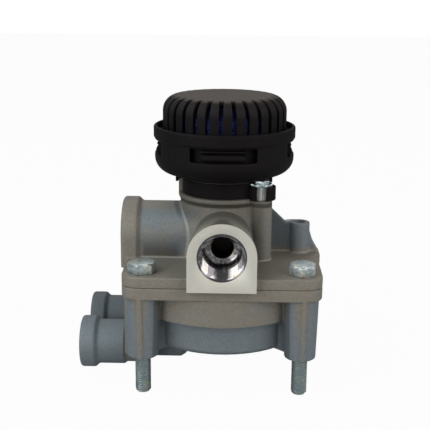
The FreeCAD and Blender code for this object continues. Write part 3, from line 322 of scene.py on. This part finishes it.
class Finish:
    """A material made of nodes, whose pattern keeps to the object's own coordinates."""

    def __init__(self, name, **sockets):
        self.material = bpy.data.materials.new(name)
        self.material.use_nodes = True
        self.tree = self.material.node_tree
        self.shader = self.tree.nodes["Principled BSDF"]
        self.place = self.add("TexCoord", output="Object")
        split = self.add("SeparateXYZ", None, {0: self.place}).socket.node
        self.x, self.y, self.z = (Signal(self, split.outputs[i]) * (1 / MM) for i in range(3))
        for socket, value in sockets.items():
            self.set(socket.replace("_", " ").title().replace("Ior", "IOR"), value)

    def add(self, kind, settings=None, sockets=None, output=0):
        """A node with its settings and the values or links of its sockets."""
        node = self.tree.nodes.new("ShaderNode" + kind)
        for name, value in (settings or {}).items():
            if name == "stops":
                while len(node.color_ramp.elements) < len(value):
                    node.color_ramp.elements.new(0.5)
                for stop, (position, colour) in zip(node.color_ramp.elements, value):
                    stop.position = position
                    stop.color = (*colour, 1)
            else:
                setattr(node, name, value)
        for name, value in (sockets or {}).items():
            self.feed(node.inputs[name], value)
        return Signal(self, node.outputs[output])

    def feed(self, socket, value):
        if isinstance(value, Signal):
            self.tree.links.new(value.socket, socket)
        elif isinstance(value, tuple) and len(value) == 3 and socket.type == "RGBA":
            socket.default_value = (*value, 1)
        else:
            socket.default_value = value

    def set(self, name, value):
        self.feed(self.shader.inputs[name], value)

    def grain(self, size, detail=2, rough=0.5, place=None):
        """Noise whose features are about the given size in millimetres."""
        return self.add("TexNoise", None, {"Vector": place or self.place, "Scale": 1 / (size * MM),
                                           "Detail": detail, "Roughness": rough})

    def streaks(self, size, stretch):
        """Noise drawn out by the given factors along X, Y and Z."""
        scale = tuple(1 / factor for factor in stretch)
        place = self.add("Mapping", None, {"Vector": self.place, "Scale": scale})
        return self.grain(size, 2, 0.5, place)

    def seam(self, first, second, width):
        """1 where both distances are near zero, fading out over a width."""
        return (1 - abs(first).rise(width * 0.2, width)) * (1 - abs(second).rise(width * 0.2, width))

    def spots(self, size, jitter=1):
        """Distance from scattered points about the given size apart."""
        return self.add("TexVoronoi", None, {"Vector": self.place, "Scale": 1 / (size * MM),
                                             "Randomness": jitter}, output="Distance")

    def mix(self, first, second, share):
        """One colour over another."""
        return self.add("Mix", {"data_type": "RGBA"}, {0: share, 6: first, 7: second}, output=2)

    def shade(self, colour, factor):
        """A colour made lighter or darker."""
        grey = self.add("CombineColor", None, {0: factor, 1: factor, 2: factor})
        return self.add("Mix", {"data_type": "RGBA", "blend_type": "MULTIPLY"},
                        {0: 1.0, 6: colour, 7: grey}, output=2)

    def relief(self, height, depth, strength=1.0, under=None):
        """A bump of the given depth in millimetres."""
        sockets = {"Height": height, "Distance": depth * MM, "Strength": strength}
        if under is not None:
            sockets["Normal"] = under
        return self.add("Bump", None, sockets)


def reach(first, second):
    """Distance from the axis on which both coordinates are zero."""
    return (first * first + second * second) ** 0.5


# Painted light for the cast skins: blue-grey stands for cool shade, brown-grey for warm light
SHADE_BLUE_GREY = (0.205, 0.240, 0.266)
LIT_BROWN_GREY = (0.270, 0.248, 0.210)
# Painted highlight along the fillets of the upper casting
FILLET_HIGHLIGHT = (0.36, 0.36, 0.34)


def cast_aluminium(name, painted_light_share, painted_shade, painted_highlights=None):
    """Die-cast skin: brown-grey painted light, blue-grey painted shade, darker painted shade in recesses.
    """
    skin = Finish(name, metallic=0.3)
    cloud = skin.grain(11, 3)
    # Painted light: lit brown-grey against shaded blue-grey by place, mottled by a random cloud
    share = painted_light_share(skin) + (cloud - 0.5) * 0.8
    colour = skin.mix(SHADE_BLUE_GREY, LIT_BROWN_GREY, share.rise(0.1, 0.9))
    # Painted highlights along the fillets
    if painted_highlights:
        colour = skin.mix(colour, FILLET_HIGHLIGHT, painted_highlights(skin))
    fine = skin.grain(0.4, 3, 0.75)
    coarse = skin.grain(1.5, 3, 0.65)
    pits = skin.spots(2.4).rise(0.07, 0.17)
    # Painted shade darkens the recesses; the grain and pits are the skin's own tone
    tone = (0.40 + fine * 0.70 + coarse * 0.50) * (1 - painted_shade(skin))
    colour = skin.shade(colour, tone * (0.78 + pits * 0.22))
    skin.set("Base Color", colour)
    skin.set("Roughness", 0.50 + fine * 0.2)
    height = fine * 0.6 + coarse * 0.9 + pits * 0.3
    skin.set("Normal", skin.relief(height, 0.15))
    return skin.material


def case_painted_light(skin):
    """Painted warm light on the lower casting: flange edge, ribs and the front of the upper chamber."""
    outward = abs(skin.x).high(abs(skin.y))
    barrels = (skin.x * -1).rise(50.4, 51.2)
    high_up = skin.z.rise(JOINT - 26.6, JOINT - 1.6)
    chamber = (skin.y * -1).rise(24, 34) * (skin.z - JOINT).rise(-20.6, -19.6)
    chamber = chamber * (1 - abs(skin.x).rise(31, 34))
    return (outward.rise(46.2, 49.6) * (0.6 + high_up * 0.5)).high(chamber * 0.72) * (1 - barrels)


def housing_painted_light(skin):
    """Painted warm light on the upper casting: flange, front of the neck and the top of the ports."""
    front = (skin.y * -1).rise(4, 24)
    flange = 1 - skin.z.rise(FLANGE_TOP - 0.4, FLANGE_TOP + 6)
    high_up = skin.z.rise(JOINT + 24.4, JOINT + 34.4)
    collar = (skin.x * -1).rise(41, 45)
    return (front * 0.75).high(flange).high(high_up * 0.8).high(collar * 0.75)


def case_painted_shade(skin):
    """Painted shade on the rear barrel and on the walls behind the bolt bosses."""
    rear = skin.y.rise(0, 6) * (skin.x * -1).rise(49, 51)
    wide = abs(skin.x)
    side = (skin.y * -1).rise(20, 26) * (1 - (skin.y * -1).rise(45.6, 46.4))
    return (rear * 0.35).high(side * wide.rise(26, 32) * (1 - wide.rise(36.5, 40)) * 0.4)


def housing_painted_shade(skin):
    """Painted shade under the collar, low on the supply barrel and on the web behind, and a painted
    highlight.
    """
    x, y, z = skin.x, skin.y, skin.z
    round_axis = reach(x, y)
    neck = z.rise(FLANGE_TOP + 18, FLANGE_TOP + 24) * (1 - round_axis.rise(26, 27))
    foot_up = (z - FLANGE_TOP).rise(0.4, 1.2)
    foot = foot_up * (1 - (z - FLANGE_TOP).rise(3, 12))
    barrel = foot * (x * -1).rise(20, 25) * (1 - (x * -1).rise(41, 43))
    web = x.rise(22, 25) * (1 - x.rise(34.5, 35.5)) * (1 - (y * -1).rise(2, 8)) * foot_up
    over = (z - DELIVERY_AXIS).high(0)
    arch = reach(x, over)
    port = (1 - arch.rise(17.2, 17.8)) * (z - DELIVERY_AXIS).rise(2, 10)
    # Painted shade on the top of the front port near the neck, and a painted highlight near its face
    shaded = port * (y * -1).rise(20, 24) * (1 - (y * -1).rise(32, 46))
    lit = port * (y * -1).rise(44, 52)
    under_ring = (z - WAIST).rise(-0.9, 0.2) * (1 - (z - WAIST).rise(1.8, 2.5)) * (y * -1).rise(0, 6)
    tower = 1 - reach(x - TOWER.x, y - TOWER.y).rise(6.8, 7.6)
    tower = tower * (1 - x.rise(TOWER.x - 1, TOWER.x + 5)) * foot_up
    lip = (z - NECK_TOP).rise(-3.4, -2.8) * (y * -1).rise(0, 6)
    # Painted shade under the collar, on the barrel, web, ring underside and lip and beside the tower, less
    # the highlight
    painted_dark = (neck * 0.35).high(barrel * 0.5).high(web * 0.4).high(shaded * 0.45)
    return painted_dark.high(under_ring * 0.75).high(lip * 0.85).high(tower * 0.4) - lit * 0.35


def housing_fillet_highlights(skin):
    """Painted highlights along the fillets where the barrels, tower and boss of the upper casting meet."""
    x, y, z = skin.x, skin.y, skin.z
    foot = z - FLANGE_TOP - 0.5
    round_axis = reach(x, y)
    neck = round_axis - (NECK_FOOT - (z - FLANGE_TOP) * ((NECK_FOOT - NECK_WAIST) / (WAIST - FLANGE_TOP)))
    over_supply = (z - SUPPLY_AXIS).high(0)
    supply = reach(y, over_supply) - SUPPLY_BARREL
    over_delivery = (z - DELIVERY_AXIS).high(0)
    delivery = reach(x, over_delivery) - DELIVERY_HALF_WIDTH
    tower = reach(x - TOWER.x, y - TOWER.y) - TOWER_RADIUS
    boss = reach(x - SIDE_BOSS.x, y) - SIDE_BOSS_RADIUS
    lines = skin.seam(neck - 0.3, supply - 0.3, 0.8) * (x * -1).rise(0, 4)
    for first, second in ((supply - 0.4, foot), (tower, foot), (boss, foot), (neck - 0.4, foot)):
        lines = lines.high(skin.seam(first, second, 0.8) * 0.8)
    return lines.high(skin.seam(neck - 0.3, delivery - 0.3, 0.7) * 0.3)


def machined_aluminium():
    """Bright bores, yellow bloom, painted dark reflections along port 2, painted shade in the countersinks.
    """
    bright = Finish("machined_aluminium", metallic=1.0)
    x, y, z = bright.x, bright.y, bright.z
    streak = bright.grain(0.8, 2)
    cloud = bright.grain(4, 2)
    # Painted reflections: dark streaks drawn out along the Y axis
    painted_reflection_bands = bright.streaks(2.4, (1, 14, 1))
    delivery = reach(x, z - DELIVERY_AXIS)
    supply = reach(y, z - SUPPLY_AXIS)
    # Painted shade in the countersinks of ports 1 and 2
    mouth_shade = delivery.low(supply).rise(11.2, 11.5)
    colour = bright.mix((0.40, 0.40, 0.41), (0.38, 0.34, 0.22), cloud.rise(0.5, 0.75))
    colour = bright.mix(colour, (0.10, 0.09, 0.11), (painted_reflection_bands.rise(0.46, 0.54) * 0.75).high(mouth_shade * 0.8))
    bright.set("Base Color", colour)
    bright.set("Roughness", 0.10 + streak * 0.12)
    bright.set("Normal", bright.relief(bright.grain(0.25, 2), 0.008))
    return bright.material


def drilled_aluminium():
    """Near-black painted shade deep in the drilled passages."""
    dark = Finish("drilled_aluminium", metallic=0.6)
    cloud = dark.grain(2, 2)
    dark.set("Base Color", dark.mix((0.030, 0.025, 0.020), (0.060, 0.050, 0.038), cloud))
    dark.set("Roughness", 0.42 + cloud * 0.2)
    return dark.material


def milled_face():
    """Pale milled port face with faint rings of the cutter, 0.55 mm apart."""
    face = Finish("milled_face", metallic=0.35, roughness=0.42)
    phase = reach(face.x, face.z - DELIVERY_AXIS) * (TURN / 0.55)
    rings = phase.maths("SINE", phase)
    cloud = face.grain(5, 3)
    face.set("Base Color", face.shade(face.mix((0.72, 0.70, 0.63), (0.80, 0.785, 0.71), cloud),
                                      0.97 + rings * 0.02))
    face.set("Normal", face.relief(rings * 0.5 + face.grain(0.4), 0.01))
    return face.material


def zinc_plate():
    """Bluish zinc with a faint bloom of yellow."""
    zinc = Finish("zinc_plate", metallic=0.85)
    cloud = zinc.grain(3.5, 3)
    fine = zinc.grain(0.5, 2)
    fleck = zinc.grain(2.2, 3, 0.6) * zinc.z.rise(FLANGE_TOP - 1, FLANGE_TOP)
    bloom = zinc.mix((0.58, 0.68, 0.71), (0.80, 0.80, 0.71), cloud.rise(0.45, 0.75))
    zinc.set("Base Color", zinc.shade(bloom, 0.55 + fine * 0.45 + fleck.rise(0.42, 0.60) * 0.35))
    zinc.set("Roughness", 0.22 + fine * 0.16)
    zinc.set("Normal", zinc.relief(fine * 0.6 + fleck * 1.4, 0.03))
    return zinc.material


def drawn_zinc():
    """Zinc on the drawn tube of the sleeve, with streaks along it."""
    drawn = Finish("drawn_zinc", metallic=0.2)
    streak = drawn.streaks(0.35, (1, 1, 40))
    drawn.set("Base Color", drawn.mix((0.30, 0.37, 0.40), (0.92, 0.95, 0.92), streak.rise(0.35, 0.6)))
    drawn.set("Roughness", 0.38 + streak * 0.1)
    drawn.set("Normal", drawn.relief(streak, 0.05))
    return drawn.material


def black_plastic(name, dust_and_sheen_level=None, parting=None):
    """Moulded black plastic: dusty grey with painted sheen just under a level, and a parting line at an
    azimuth.
    """
    plastic = Finish(name, specular_ior_level=0.12)
    fine = plastic.grain(0.3, 2)
    cloud = plastic.grain(12, 3)
    colour = plastic.mix((0.0048, 0.0036, 0.0050), (0.0075, 0.0060, 0.0070), cloud)
    if dust_and_sheen_level:
        # Dusty grey and painted sheen on the top of the cap and the shoulders of its bars
        dust_and_sheen = plastic.z.rise(dust_and_sheen_level - 1.6, dust_and_sheen_level) * (0.8 + cloud * 0.4)
        dust_and_sheen = dust_and_sheen.high(plastic.z.rise(dust_and_sheen_level - 10, dust_and_sheen_level - 2) * 0.16)
        gate = 1 - reach(plastic.x, plastic.y).rise(0.6, 1.1)
        colour = plastic.mix(colour, (0.085, 0.074, 0.068), dust_and_sheen * (1 - gate))
    height = fine + plastic.grain(1.2) * 0.4
    tone = 0.85 + fine * 0.3
    if parting is not None:
        toward = (math.cos(parting), math.sin(parting))
        across = abs(plastic.x * toward[1] - plastic.y * toward[0])
        line = (1 - across.rise(0.10, 0.28)) * (plastic.x * toward[0] + plastic.y * toward[1]).rise(0, 5)
        tone = tone * (1 - line * 0.8)
    plastic.set("Base Color", plastic.shade(colour, tone))
    plastic.set("Roughness", 0.5 + fine * 0.14 + cloud * 0.06)
    plastic.set("Normal", plastic.relief(height, 0.03))
    return plastic.material


def blue_knit():
    """Knitted blue thread of the filter."""
    knit = Finish("blue_knit", roughness=0.6)
    strand = knit.spots(1.0)
    thread = knit.streaks(0.8, (1, 1, 3))
    share = (strand.rise(0.1, 0.55)).high(thread.rise(0.5, 0.7))
    knit.set("Base Color", knit.mix((0.006, 0.06, 0.60), (0.001, 0.004, 0.06), share))
    knit.set("Normal", knit.relief(1 - strand, 0.4))
    return knit.material


def plain_finish(name, colour, metallic, rough, size=0.6, depth=0.02):
    """A simple finish with a fine grain in tone and relief."""
    plain = Finish(name, metallic=metallic)
    fine = plain.grain(size, 3)
    plain.set("Base Color", plain.shade(colour, 0.8 + fine * 0.4))
    plain.set("Roughness", rough - 0.08 + fine * 0.16)
    plain.set("Normal", plain.relief(fine, depth))
    return plain.material


case_skin = cast_aluminium("case_skin", case_painted_light, case_painted_shade)
housing_skin = cast_aluminium("housing_skin", housing_painted_light, housing_painted_shade, housing_fillet_highlights)
bright_bore = machined_aluminium()
deep_bore_shade = drilled_aluminium()
port_face = milled_face()
zinc = zinc_plate()
sleeve_zinc = drawn_zinc()
black = black_plastic("black_plastic")
dusty_black = black_plastic("dusty_black", cap_high.z)
collar_black = black_plastic("collar_black", parting=COLLAR_PARTING)
knit = blue_knit()
rubber = plain_finish("seal_rubber", (0.018, 0.018, 0.018), 0.0, 0.55)
turned_metal = plain_finish("turned_metal", (0.62, 0.62, 0.63), 1.0, 0.32)
spring_wire = plain_finish("spring_wire", (0.32, 0.31, 0.30), 1.0, 0.38)
guide_plastic = plain_finish("guide_plastic", (0.62, 0.58, 0.48), 0.0, 0.5)

carried_over = {
    "housing_seal": rubber, "relay_piston": turned_metal, "relay_piston_ring": rubber,
    "control_piston": turned_metal, "control_piston_ring": rubber, "valve_disc": rubber,
    "valve_stem": turned_metal, "valve_spring": spring_wire, "valve_guide": guide_plastic,
    "guide_outer_seal": rubber, "guide_inner_seal": rubber, "retaining_ring": spring_wire,
    "silencer_seal": rubber, "silencer_filter": knit, "silencer_base": black,
    "silencer_collar": black, "silencer_cap": dusty_black, "locking_band": black,
    "clamp_sleeve": sleeve_zinc, "clamp_screw": zinc, "hex_bolts": zinc,
    "valve_housing": housing_skin, "control_housing": case_skin,
}
for node, finish in carried_over.items():
    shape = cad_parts[node].data
    shape.materials.clear()
    shape.materials.append(finish)


# Castings

def port_drill(reach, depth, core, sink, steps_below=()):
    """Cutter of a port's core and countersink, from its inner end to past its mouth, along +Z."""
    section = [*steps_below, (core, reach - depth), (core, reach - (sink - core) * 0.75), (sink, reach),
               (sink, reach + 3), (0, reach + 3)]
    if not steps_below:
        section.insert(0, (0, reach - depth))
    return turned(section, 96)


def port_thread(reach, depth, core, crest, pitch=1.5):
    """Cutter of a port's thread, which ends a turn short of the bottom of its core."""
    return threaded(core, crest, pitch, reach - depth + 1.5, reach - 0.4, steps=96)


def on_plane(face, normal, distance):
    """Whether a face lies in the plane at a distance along a normal, in millimetres."""
    return (abs(face.normal.dot(normal)) > 0.99
            and abs(face.calc_center_median().dot(normal) / MM - distance) < 0.02)


def in_bore(face, axis, spot, radius):
    """Whether a face lies within a radius round an axis and more than 18 mm out along it."""
    away = face.calc_center_median() / MM - spot
    return (away - axis * away.dot(axis)).length < radius and away.dot(axis) > 18


def paint_faces(thing, index, chosen):
    """Give the chosen faces another of the object's materials."""
    for polygon, wanted in zip(thing.data.polygons, chosen):
        if wanted:
            polygon.material_index = index


def housing_casting():
    """Upper casting with cast fillets, its machined port faces, bores and holes."""
    supply, delivery = Vector((0, 0, SUPPLY_AXIS)), Vector((0, 0, DELIVERY_AXIS))
    above_supply = supply + UP * SUPPLY_THROAT_RISE
    plugs = [aimed(rod(SUPPLY_PLUG, 24, SUPPLY_FACE - 0.6), LEFT, supply)]
    for side in (FRONT, BACK):
        plugs.append(aimed(rod(DELIVERY_PLUG, 24, DELIVERY_FACE - 0.4), side, delivery))
        blank = rod(DELIVERY_HALF_WIDTH, DELIVERY_FACE - 4, DELIVERY_FACE + 1.5, steps=96)
        plugs.append(aimed(blank, side, delivery))
        low, high = sorted((side.y * (DELIVERY_FACE - 4), side.y * (DELIVERY_FACE + 1.5)))
        foot = block((-DELIVERY_HALF_WIDTH, low, JOINT - 1.5), (DELIVERY_HALF_WIDTH, high, DELIVERY_AXIS))
        plugs.append(foot)
    for x, y in BOLT_SPOTS:
        plugs.append(rod(BOLT_PLUG, JOINT + 0.2, FLANGE_TOP - 0.2, x, y))
    plugs.append(rod(SIDE_PLUG, FLANGE_TOP, SIDE_BOSS.z - 0.2, SIDE_BOSS.x, SIDE_BOSS.y))
    whole = joined(copied("valve_housing"), *plugs)
    thing = cast("housing_casting", whole, grain=0.42, passes=7, keep=0.34)
    bores = [aimed(port_drill(SUPPLY_FACE, PORT_DEPTH, PORT_CORE, PORT_SINK), LEFT, supply)]
    threads = [aimed(port_thread(SUPPLY_FACE, PORT_DEPTH, PORT_CORE, PORT_CREST), LEFT, supply)]
    rest = [aimed(rod(SUPPLY_THROAT_RADIUS, 12, SUPPLY_FACE - 14), LEFT, above_supply)]
    joint = [block((-60, -60, JOINT - 6), (60, 60, JOINT))]
    faces = []
    step = DELIVERY_FACE - PORT_DEPTH
    throat = [(0, 23), (THROAT_RADIUS, 23), (THROAT_RADIUS, step - 3), (THROAT_STEP_RADIUS, step - 2.2),
              (THROAT_STEP_RADIUS, step)]
    for side in (FRONT, BACK):
        drill = port_drill(DELIVERY_FACE, PORT_DEPTH, PORT_CORE, PORT_SINK, throat)
        bores.append(aimed(drill, side, delivery))
        threads.append(aimed(port_thread(DELIVERY_FACE, PORT_DEPTH, PORT_CORE, PORT_CREST), side, delivery))
        low, high = sorted((side.y * DELIVERY_FACE, side.y * (DELIVERY_FACE + 4)))
        faces.append(block((-20, low, JOINT - 3), (20, high, DELIVERY_AXIS + 20)))
    hole_floor = SIDE_BOSS.z - SIDE_HOLE_DEPTH
    bores.append(rod(SIDE_HOLE_RADIUS, hole_floor, SIDE_BOSS.z + 2, SIDE_BOSS.x, SIDE_BOSS.y))
    for x, y in BOLT_SPOTS:
        bores.append(rod(BOLT_HOLE_RADIUS, JOINT - 1, FLANGE_TOP + 1, x, y))
    for cutters in (joint, faces, bores, threads, rest):
        machined(thing, *cutters)
    finished(thing, "valve_body", housing_skin, ["valve_housing"],
             others=(bright_bore, port_face, deep_bore_shade))
    form = bmesh.new()
    form.from_mesh(thing.data)
    bores = [any(in_bore(face, axis, spot, 12.3) for axis, spot in
                 ((LEFT, supply), (FRONT, delivery), (BACK, delivery))) for face in form.faces]
    milled = [on_plane(face, FRONT, DELIVERY_FACE) or on_plane(face, BACK, DELIVERY_FACE)
              for face in form.faces]
    # Faces deep in the passages take the near-black painted shade
    deep = [in_bore(face, FRONT, delivery, 5.9) or in_bore(face, BACK, delivery, 5.9)
            or (in_bore(face, LEFT, above_supply, 7.0)
                and face.calc_center_median().x / MM > PORT_DEPTH - SUPPLY_FACE)
            for face in form.faces]
    form.free()
    paint_faces(thing, 1, bores)
    paint_faces(thing, 3, deep)
    paint_faces(thing, 2, milled)


def case_casting():
    """Lower casting with cast fillets, its threaded control ports and bolt holes."""
    plugs, bores, threads = [], [], []
    spots = [Vector((0, side * CONTROL_Y, CONTROL_AXIS)) for side in (-1, 1)]
    for spot in spots:
        drill = port_drill(CONTROL_FACE, CONTROL_DEPTH, CONTROL_CORE, CONTROL_SINK)
        thread = port_thread(CONTROL_FACE, CONTROL_DEPTH, CONTROL_CORE, CONTROL_CREST)
        plugs.append(aimed(rod(CONTROL_PLUG, 55, CONTROL_FACE - 0.5), LEFT, spot))
        bores.append(aimed(drill, LEFT, spot))
        threads.append(aimed(thread, LEFT, spot))
    for x, y in BOLT_SPOTS:
        plugs.append(rod(BOLT_PLUG, 0.3, case_high.z - 0.2, x, y))
        bores.append(rod(BOLT_HOLE_RADIUS, -2, case_high.z + 1, x, y))
    whole = joined(copied("control_housing"), *plugs)
    thing = cast("case_casting", whole, grain=0.45, passes=6, keep=0.22)
    machined(thing, *bores)
    machined(thing, *threads)
    finished(thing, "valve_body", case_skin, ["control_housing"], others=(bright_bore,))
    form = bmesh.new()
    form.from_mesh(thing.data)
    bores = [face.calc_center_median().x / MM < -60
             and any((face.calc_center_median() / MM - spot).yz.length < 8.7 for spot in spots)
             for face in form.faces]
    form.free()
    paint_faces(thing, 1, bores)


# Silencer and its clamp

def silencer():
    """Collar, cap, base and band with moulded edges."""
    moulded = {"silencer_collar": collar_black, "silencer_cap": dusty_black,
               "silencer_base": black, "locking_band": black}
    for node, grain, passes, keep in (("silencer_collar", 0.4, 4, 0.4), ("silencer_cap", 0.32, 3, 0.35),
                                      ("silencer_base", 0.35, 3, 0.4), ("locking_band", 0.22, 3, 0.4)):
        thing = cast(node + "_moulding", copied(node), grain, passes, keep)
        finished(thing, "valve_body", moulded[node], [node], sharp=60)


# Bolts

def clamp_screw():
    """Clamp screw with a thin serrated flange and a small hexagon head."""
    steps, groove = 80, 0.93
    flange = rod(5.7, sleeve_high.z, sleeve_high.z + 1.3, TOWER.x, TOWER.y, steps=steps)
    for vert in flange.verts:
        if round(math.atan2(vert.co.y - TOWER.y, vert.co.x - TOWER.x) / TURN * steps) % 2:
            vert.co.xy = TOWER.xy + (vert.co.xy - TOWER.xy) * groove
    rims = [edge for edge in flange.edges if abs(edge.verts[0].co.z - edge.verts[1].co.z) < 0.01]
    bmesh.ops.bevel(flange, geom=rims, offset=0.22, segments=2, profile=0.5, affect="EDGES", material=-1)
    shank = rod(2.5, screw_low.z, sleeve_high.z + 0.5, TOWER.x, TOWER.y, steps=40)
    head = hexagon_head(sleeve_high.z + 1.0, screw_high.z, 7.0, TOWER.x, TOWER.y, 10)
    screw = made("clamp_screw_turned", joined(flange, shank, head))
    finished(screw, "valve_body", zinc, ["clamp_screw"], sharp=30)


def hexagon_head(low, high, flats, x, y, turn):
    """A forged hexagon head with its chamfered crown and washer face."""
    form = rod(flats / math.sqrt(3), low + 0.3, high, steps=6)
    crown_radius = flats * 0.475
    cone = rod(crown_radius + (high - low) * 1.9, low, high, top=crown_radius, steps=72)
    crown = made("crown", cone)
    head = made("head", form)
    shape = head.modifiers.new("Crown", "BOOLEAN")
    shape.operation = "INTERSECT"
    shape.solver = "MANIFOLD"
    shape.object = crown
    settled(head)
    bpy.data.objects.remove(crown)
    result = bmesh.new()
    result.from_mesh(head.data)
    bpy.data.objects.remove(head)
    bmesh.ops.scale(result, vec=(1 / MM,) * 3, verts=result.verts)
    rims = [edge for edge in result.edges if edge.calc_face_angle(0) > 0.4]
    bmesh.ops.bevel(result, geom=rims, offset=0.18, segments=2, profile=0.5, affect="EDGES", material=-1)
    whole = joined(result, rod(flats * 0.46, low, low + 0.5, steps=72))
    return moved(whole, Matrix.Translation((x, y, 0)) @ Matrix.Rotation(math.radians(turn), 4, "Z"))


def flange_bolts():
    """Four hexagon bolts with rolled threads."""
    forms = []
    for (x, y), turn in HEAD_TURNS.items():
        forms.append(hexagon_head(FLANGE_TOP, bolts_high.z, HEAD_FLATS, x, y, turn))
        forms.append(rod(SHANK_RADIUS, THREAD_TOP - 1, FLANGE_TOP + 0.4, x, y, steps=48))
        thread = threaded(BOLT_CORE, BOLT_CREST, BOLT_PITCH, bolts_low.z, THREAD_TOP, steps=48)
        for vert in thread.verts:
            limit = 3.15 + max(vert.co.z - bolts_low.z, 0) * 0.9
            radius = vert.co.xy.length
            if radius > limit:
                vert.co.x *= limit / radius
                vert.co.y *= limit / radius
        forms.append(moved(thread, Matrix.Translation((x, y, 0))))
    bolts = made("flange_bolts", joined(*forms))
    finished(bolts, "valve_body", zinc, ["hex_bolts"], sharp=30)


housing_casting()
case_casting()
silencer()
flange_bolts()
clamp_screw()


# Studio

LAMP_AIM = Vector((0, 0, 0.04))


def softbox(name, azimuth, rise, power, colour=(1, 1, 1), size=0.7, away=1.0):
    """A soft square lamp aimed at the part, at an azimuth right of the front and a rise in degrees."""
    lamp = bpy.data.lights.new(name, "AREA")
    lamp.shape = "SQUARE"
    lamp.size = size
    lamp.energy = power
    lamp.color = colour
    stand = bpy.data.objects.new(name, lamp)
    turn, tilt = math.radians(azimuth), math.radians(rise)
    toward = Vector((math.sin(turn) * math.cos(tilt), -math.cos(turn) * math.cos(tilt), math.sin(tilt)))
    stand.location = LAMP_AIM + toward * away
    stand.rotation_euler = (-toward).to_track_quat("-Z", "Y").to_euler()
    bpy.context.scene.collection.objects.link(stand)


def studio():
    """Pale floor, white surroundings and soft lamps."""
    floor = made("studio_floor", block((-3000, -3000, bolts_low.z - 2), (3000, 3000, bolts_low.z)))
    pale = Finish("studio_floor", roughness=0.9, base_color=(0.5, 0.5, 0.5))
    floor.data.materials.append(pale.material)
    tree = pale.tree
    glow = tree.nodes.new("ShaderNodeEmission")
    glow.inputs["Color"].default_value = (1, 1, 1, 1)
    seen = pale.add("LightPath", output="Is Camera Ray")
    blend = tree.nodes.new("ShaderNodeMixShader")
    tree.links.new((seen * FLOOR_WHITE).socket, blend.inputs[0])
    tree.links.new(pale.shader.outputs[0], blend.inputs[1])
    tree.links.new(glow.outputs[0], blend.inputs[2])
    tree.links.new(blend.outputs[0], tree.nodes["Material Output"].inputs["Surface"])

    world = bpy.data.worlds.new("studio")
    bpy.context.scene.world = world
    world.use_nodes = True
    tree = world.node_tree
    back = tree.nodes["Background"]
    path = tree.nodes.new("ShaderNodeLightPath")
    white = tree.nodes.new("ShaderNodeMath")
    white.operation = "MAXIMUM"
    tree.links.new(path.outputs["Is Camera Ray"], white.inputs[0])
    tree.links.new(path.outputs["Is Transmission Ray"], white.inputs[1])
    mirrored = tree.nodes.new("ShaderNodeMath")
    mirrored.operation = "MULTIPLY_ADD"
    tree.links.new(path.outputs["Is Glossy Ray"], mirrored.inputs[0])
    mirrored.inputs[1].default_value = MIRRORED_GLOW
    mirrored.inputs[2].default_value = DIM_GLOW
    strength = tree.nodes.new("ShaderNodeMath")
    strength.operation = "MAXIMUM"
    tree.links.new(white.outputs[0], strength.inputs[0])
    tree.links.new(mirrored.outputs[0], strength.inputs[1])
    back.inputs["Color"].default_value = (1, 1, 1, 1)
    tree.links.new(strength.outputs[0], back.inputs["Strength"])

    softbox("left_softbox", -70, 50, 3.4, (0.84, 0.97, 1.0))
    softbox("back_softbox", 180, 50, 2.0, (1.0, 0.93, 0.88))
    softbox("front_left_softbox", -40, 20, 4.0, (1.0, 0.98, 0.95))
    softbox("front_right_softbox", 45, 25, 3.8, (1.0, 0.97, 0.92))
    softbox("right_softbox", 85, 20, 1.3, (0.90, 0.97, 1.0))


def camera():
    """The photograph's viewpoint: a little above the part, almost square to its front."""
    lens = bpy.data.cameras.new("camera")
    eye = bpy.data.objects.new("camera", lens)
    bpy.context.scene.collection.objects.link(eye)
    bpy.context.scene.camera = eye
    frame_pixels, focal_pixels, sensor = 430, 900, 36.0
    lens.sensor_width = sensor
    lens.sensor_fit = "HORIZONTAL"
    lens.lens = sensor * focal_pixels / frame_pixels
    pitch, yaw, roll = math.radians(14.7), math.radians(1.2), math.radians(0.5)
    away = 490.0
    aim = Vector((0, 0, 33.4))
    aim_pixel = (223, 268)
    ahead = Vector((-math.sin(yaw) * math.cos(pitch), math.cos(yaw) * math.cos(pitch), -math.sin(pitch)))
    level = Vector((math.cos(yaw), math.sin(yaw), 0))
    above = level.cross(ahead)
    right = math.cos(roll) * level + math.sin(roll) * above
    up = -math.sin(roll) * level + math.cos(roll) * above
    right_offset = (aim_pixel[0] - frame_pixels / 2) / focal_pixels * away
    up_offset = -(aim_pixel[1] - frame_pixels / 2) / focal_pixels * away
    spot = aim - ahead * away - right * right_offset - up * up_offset
    turn = Matrix((right, up, -ahead)).transposed().to_4x4()
    eye.matrix_world = Matrix.Translation(spot * MM) @ turn
    lens.clip_start = 0.01
    lens.clip_end = 20


studio()
camera()
bpy.context.scene.view_settings.view_transform = "Standard"
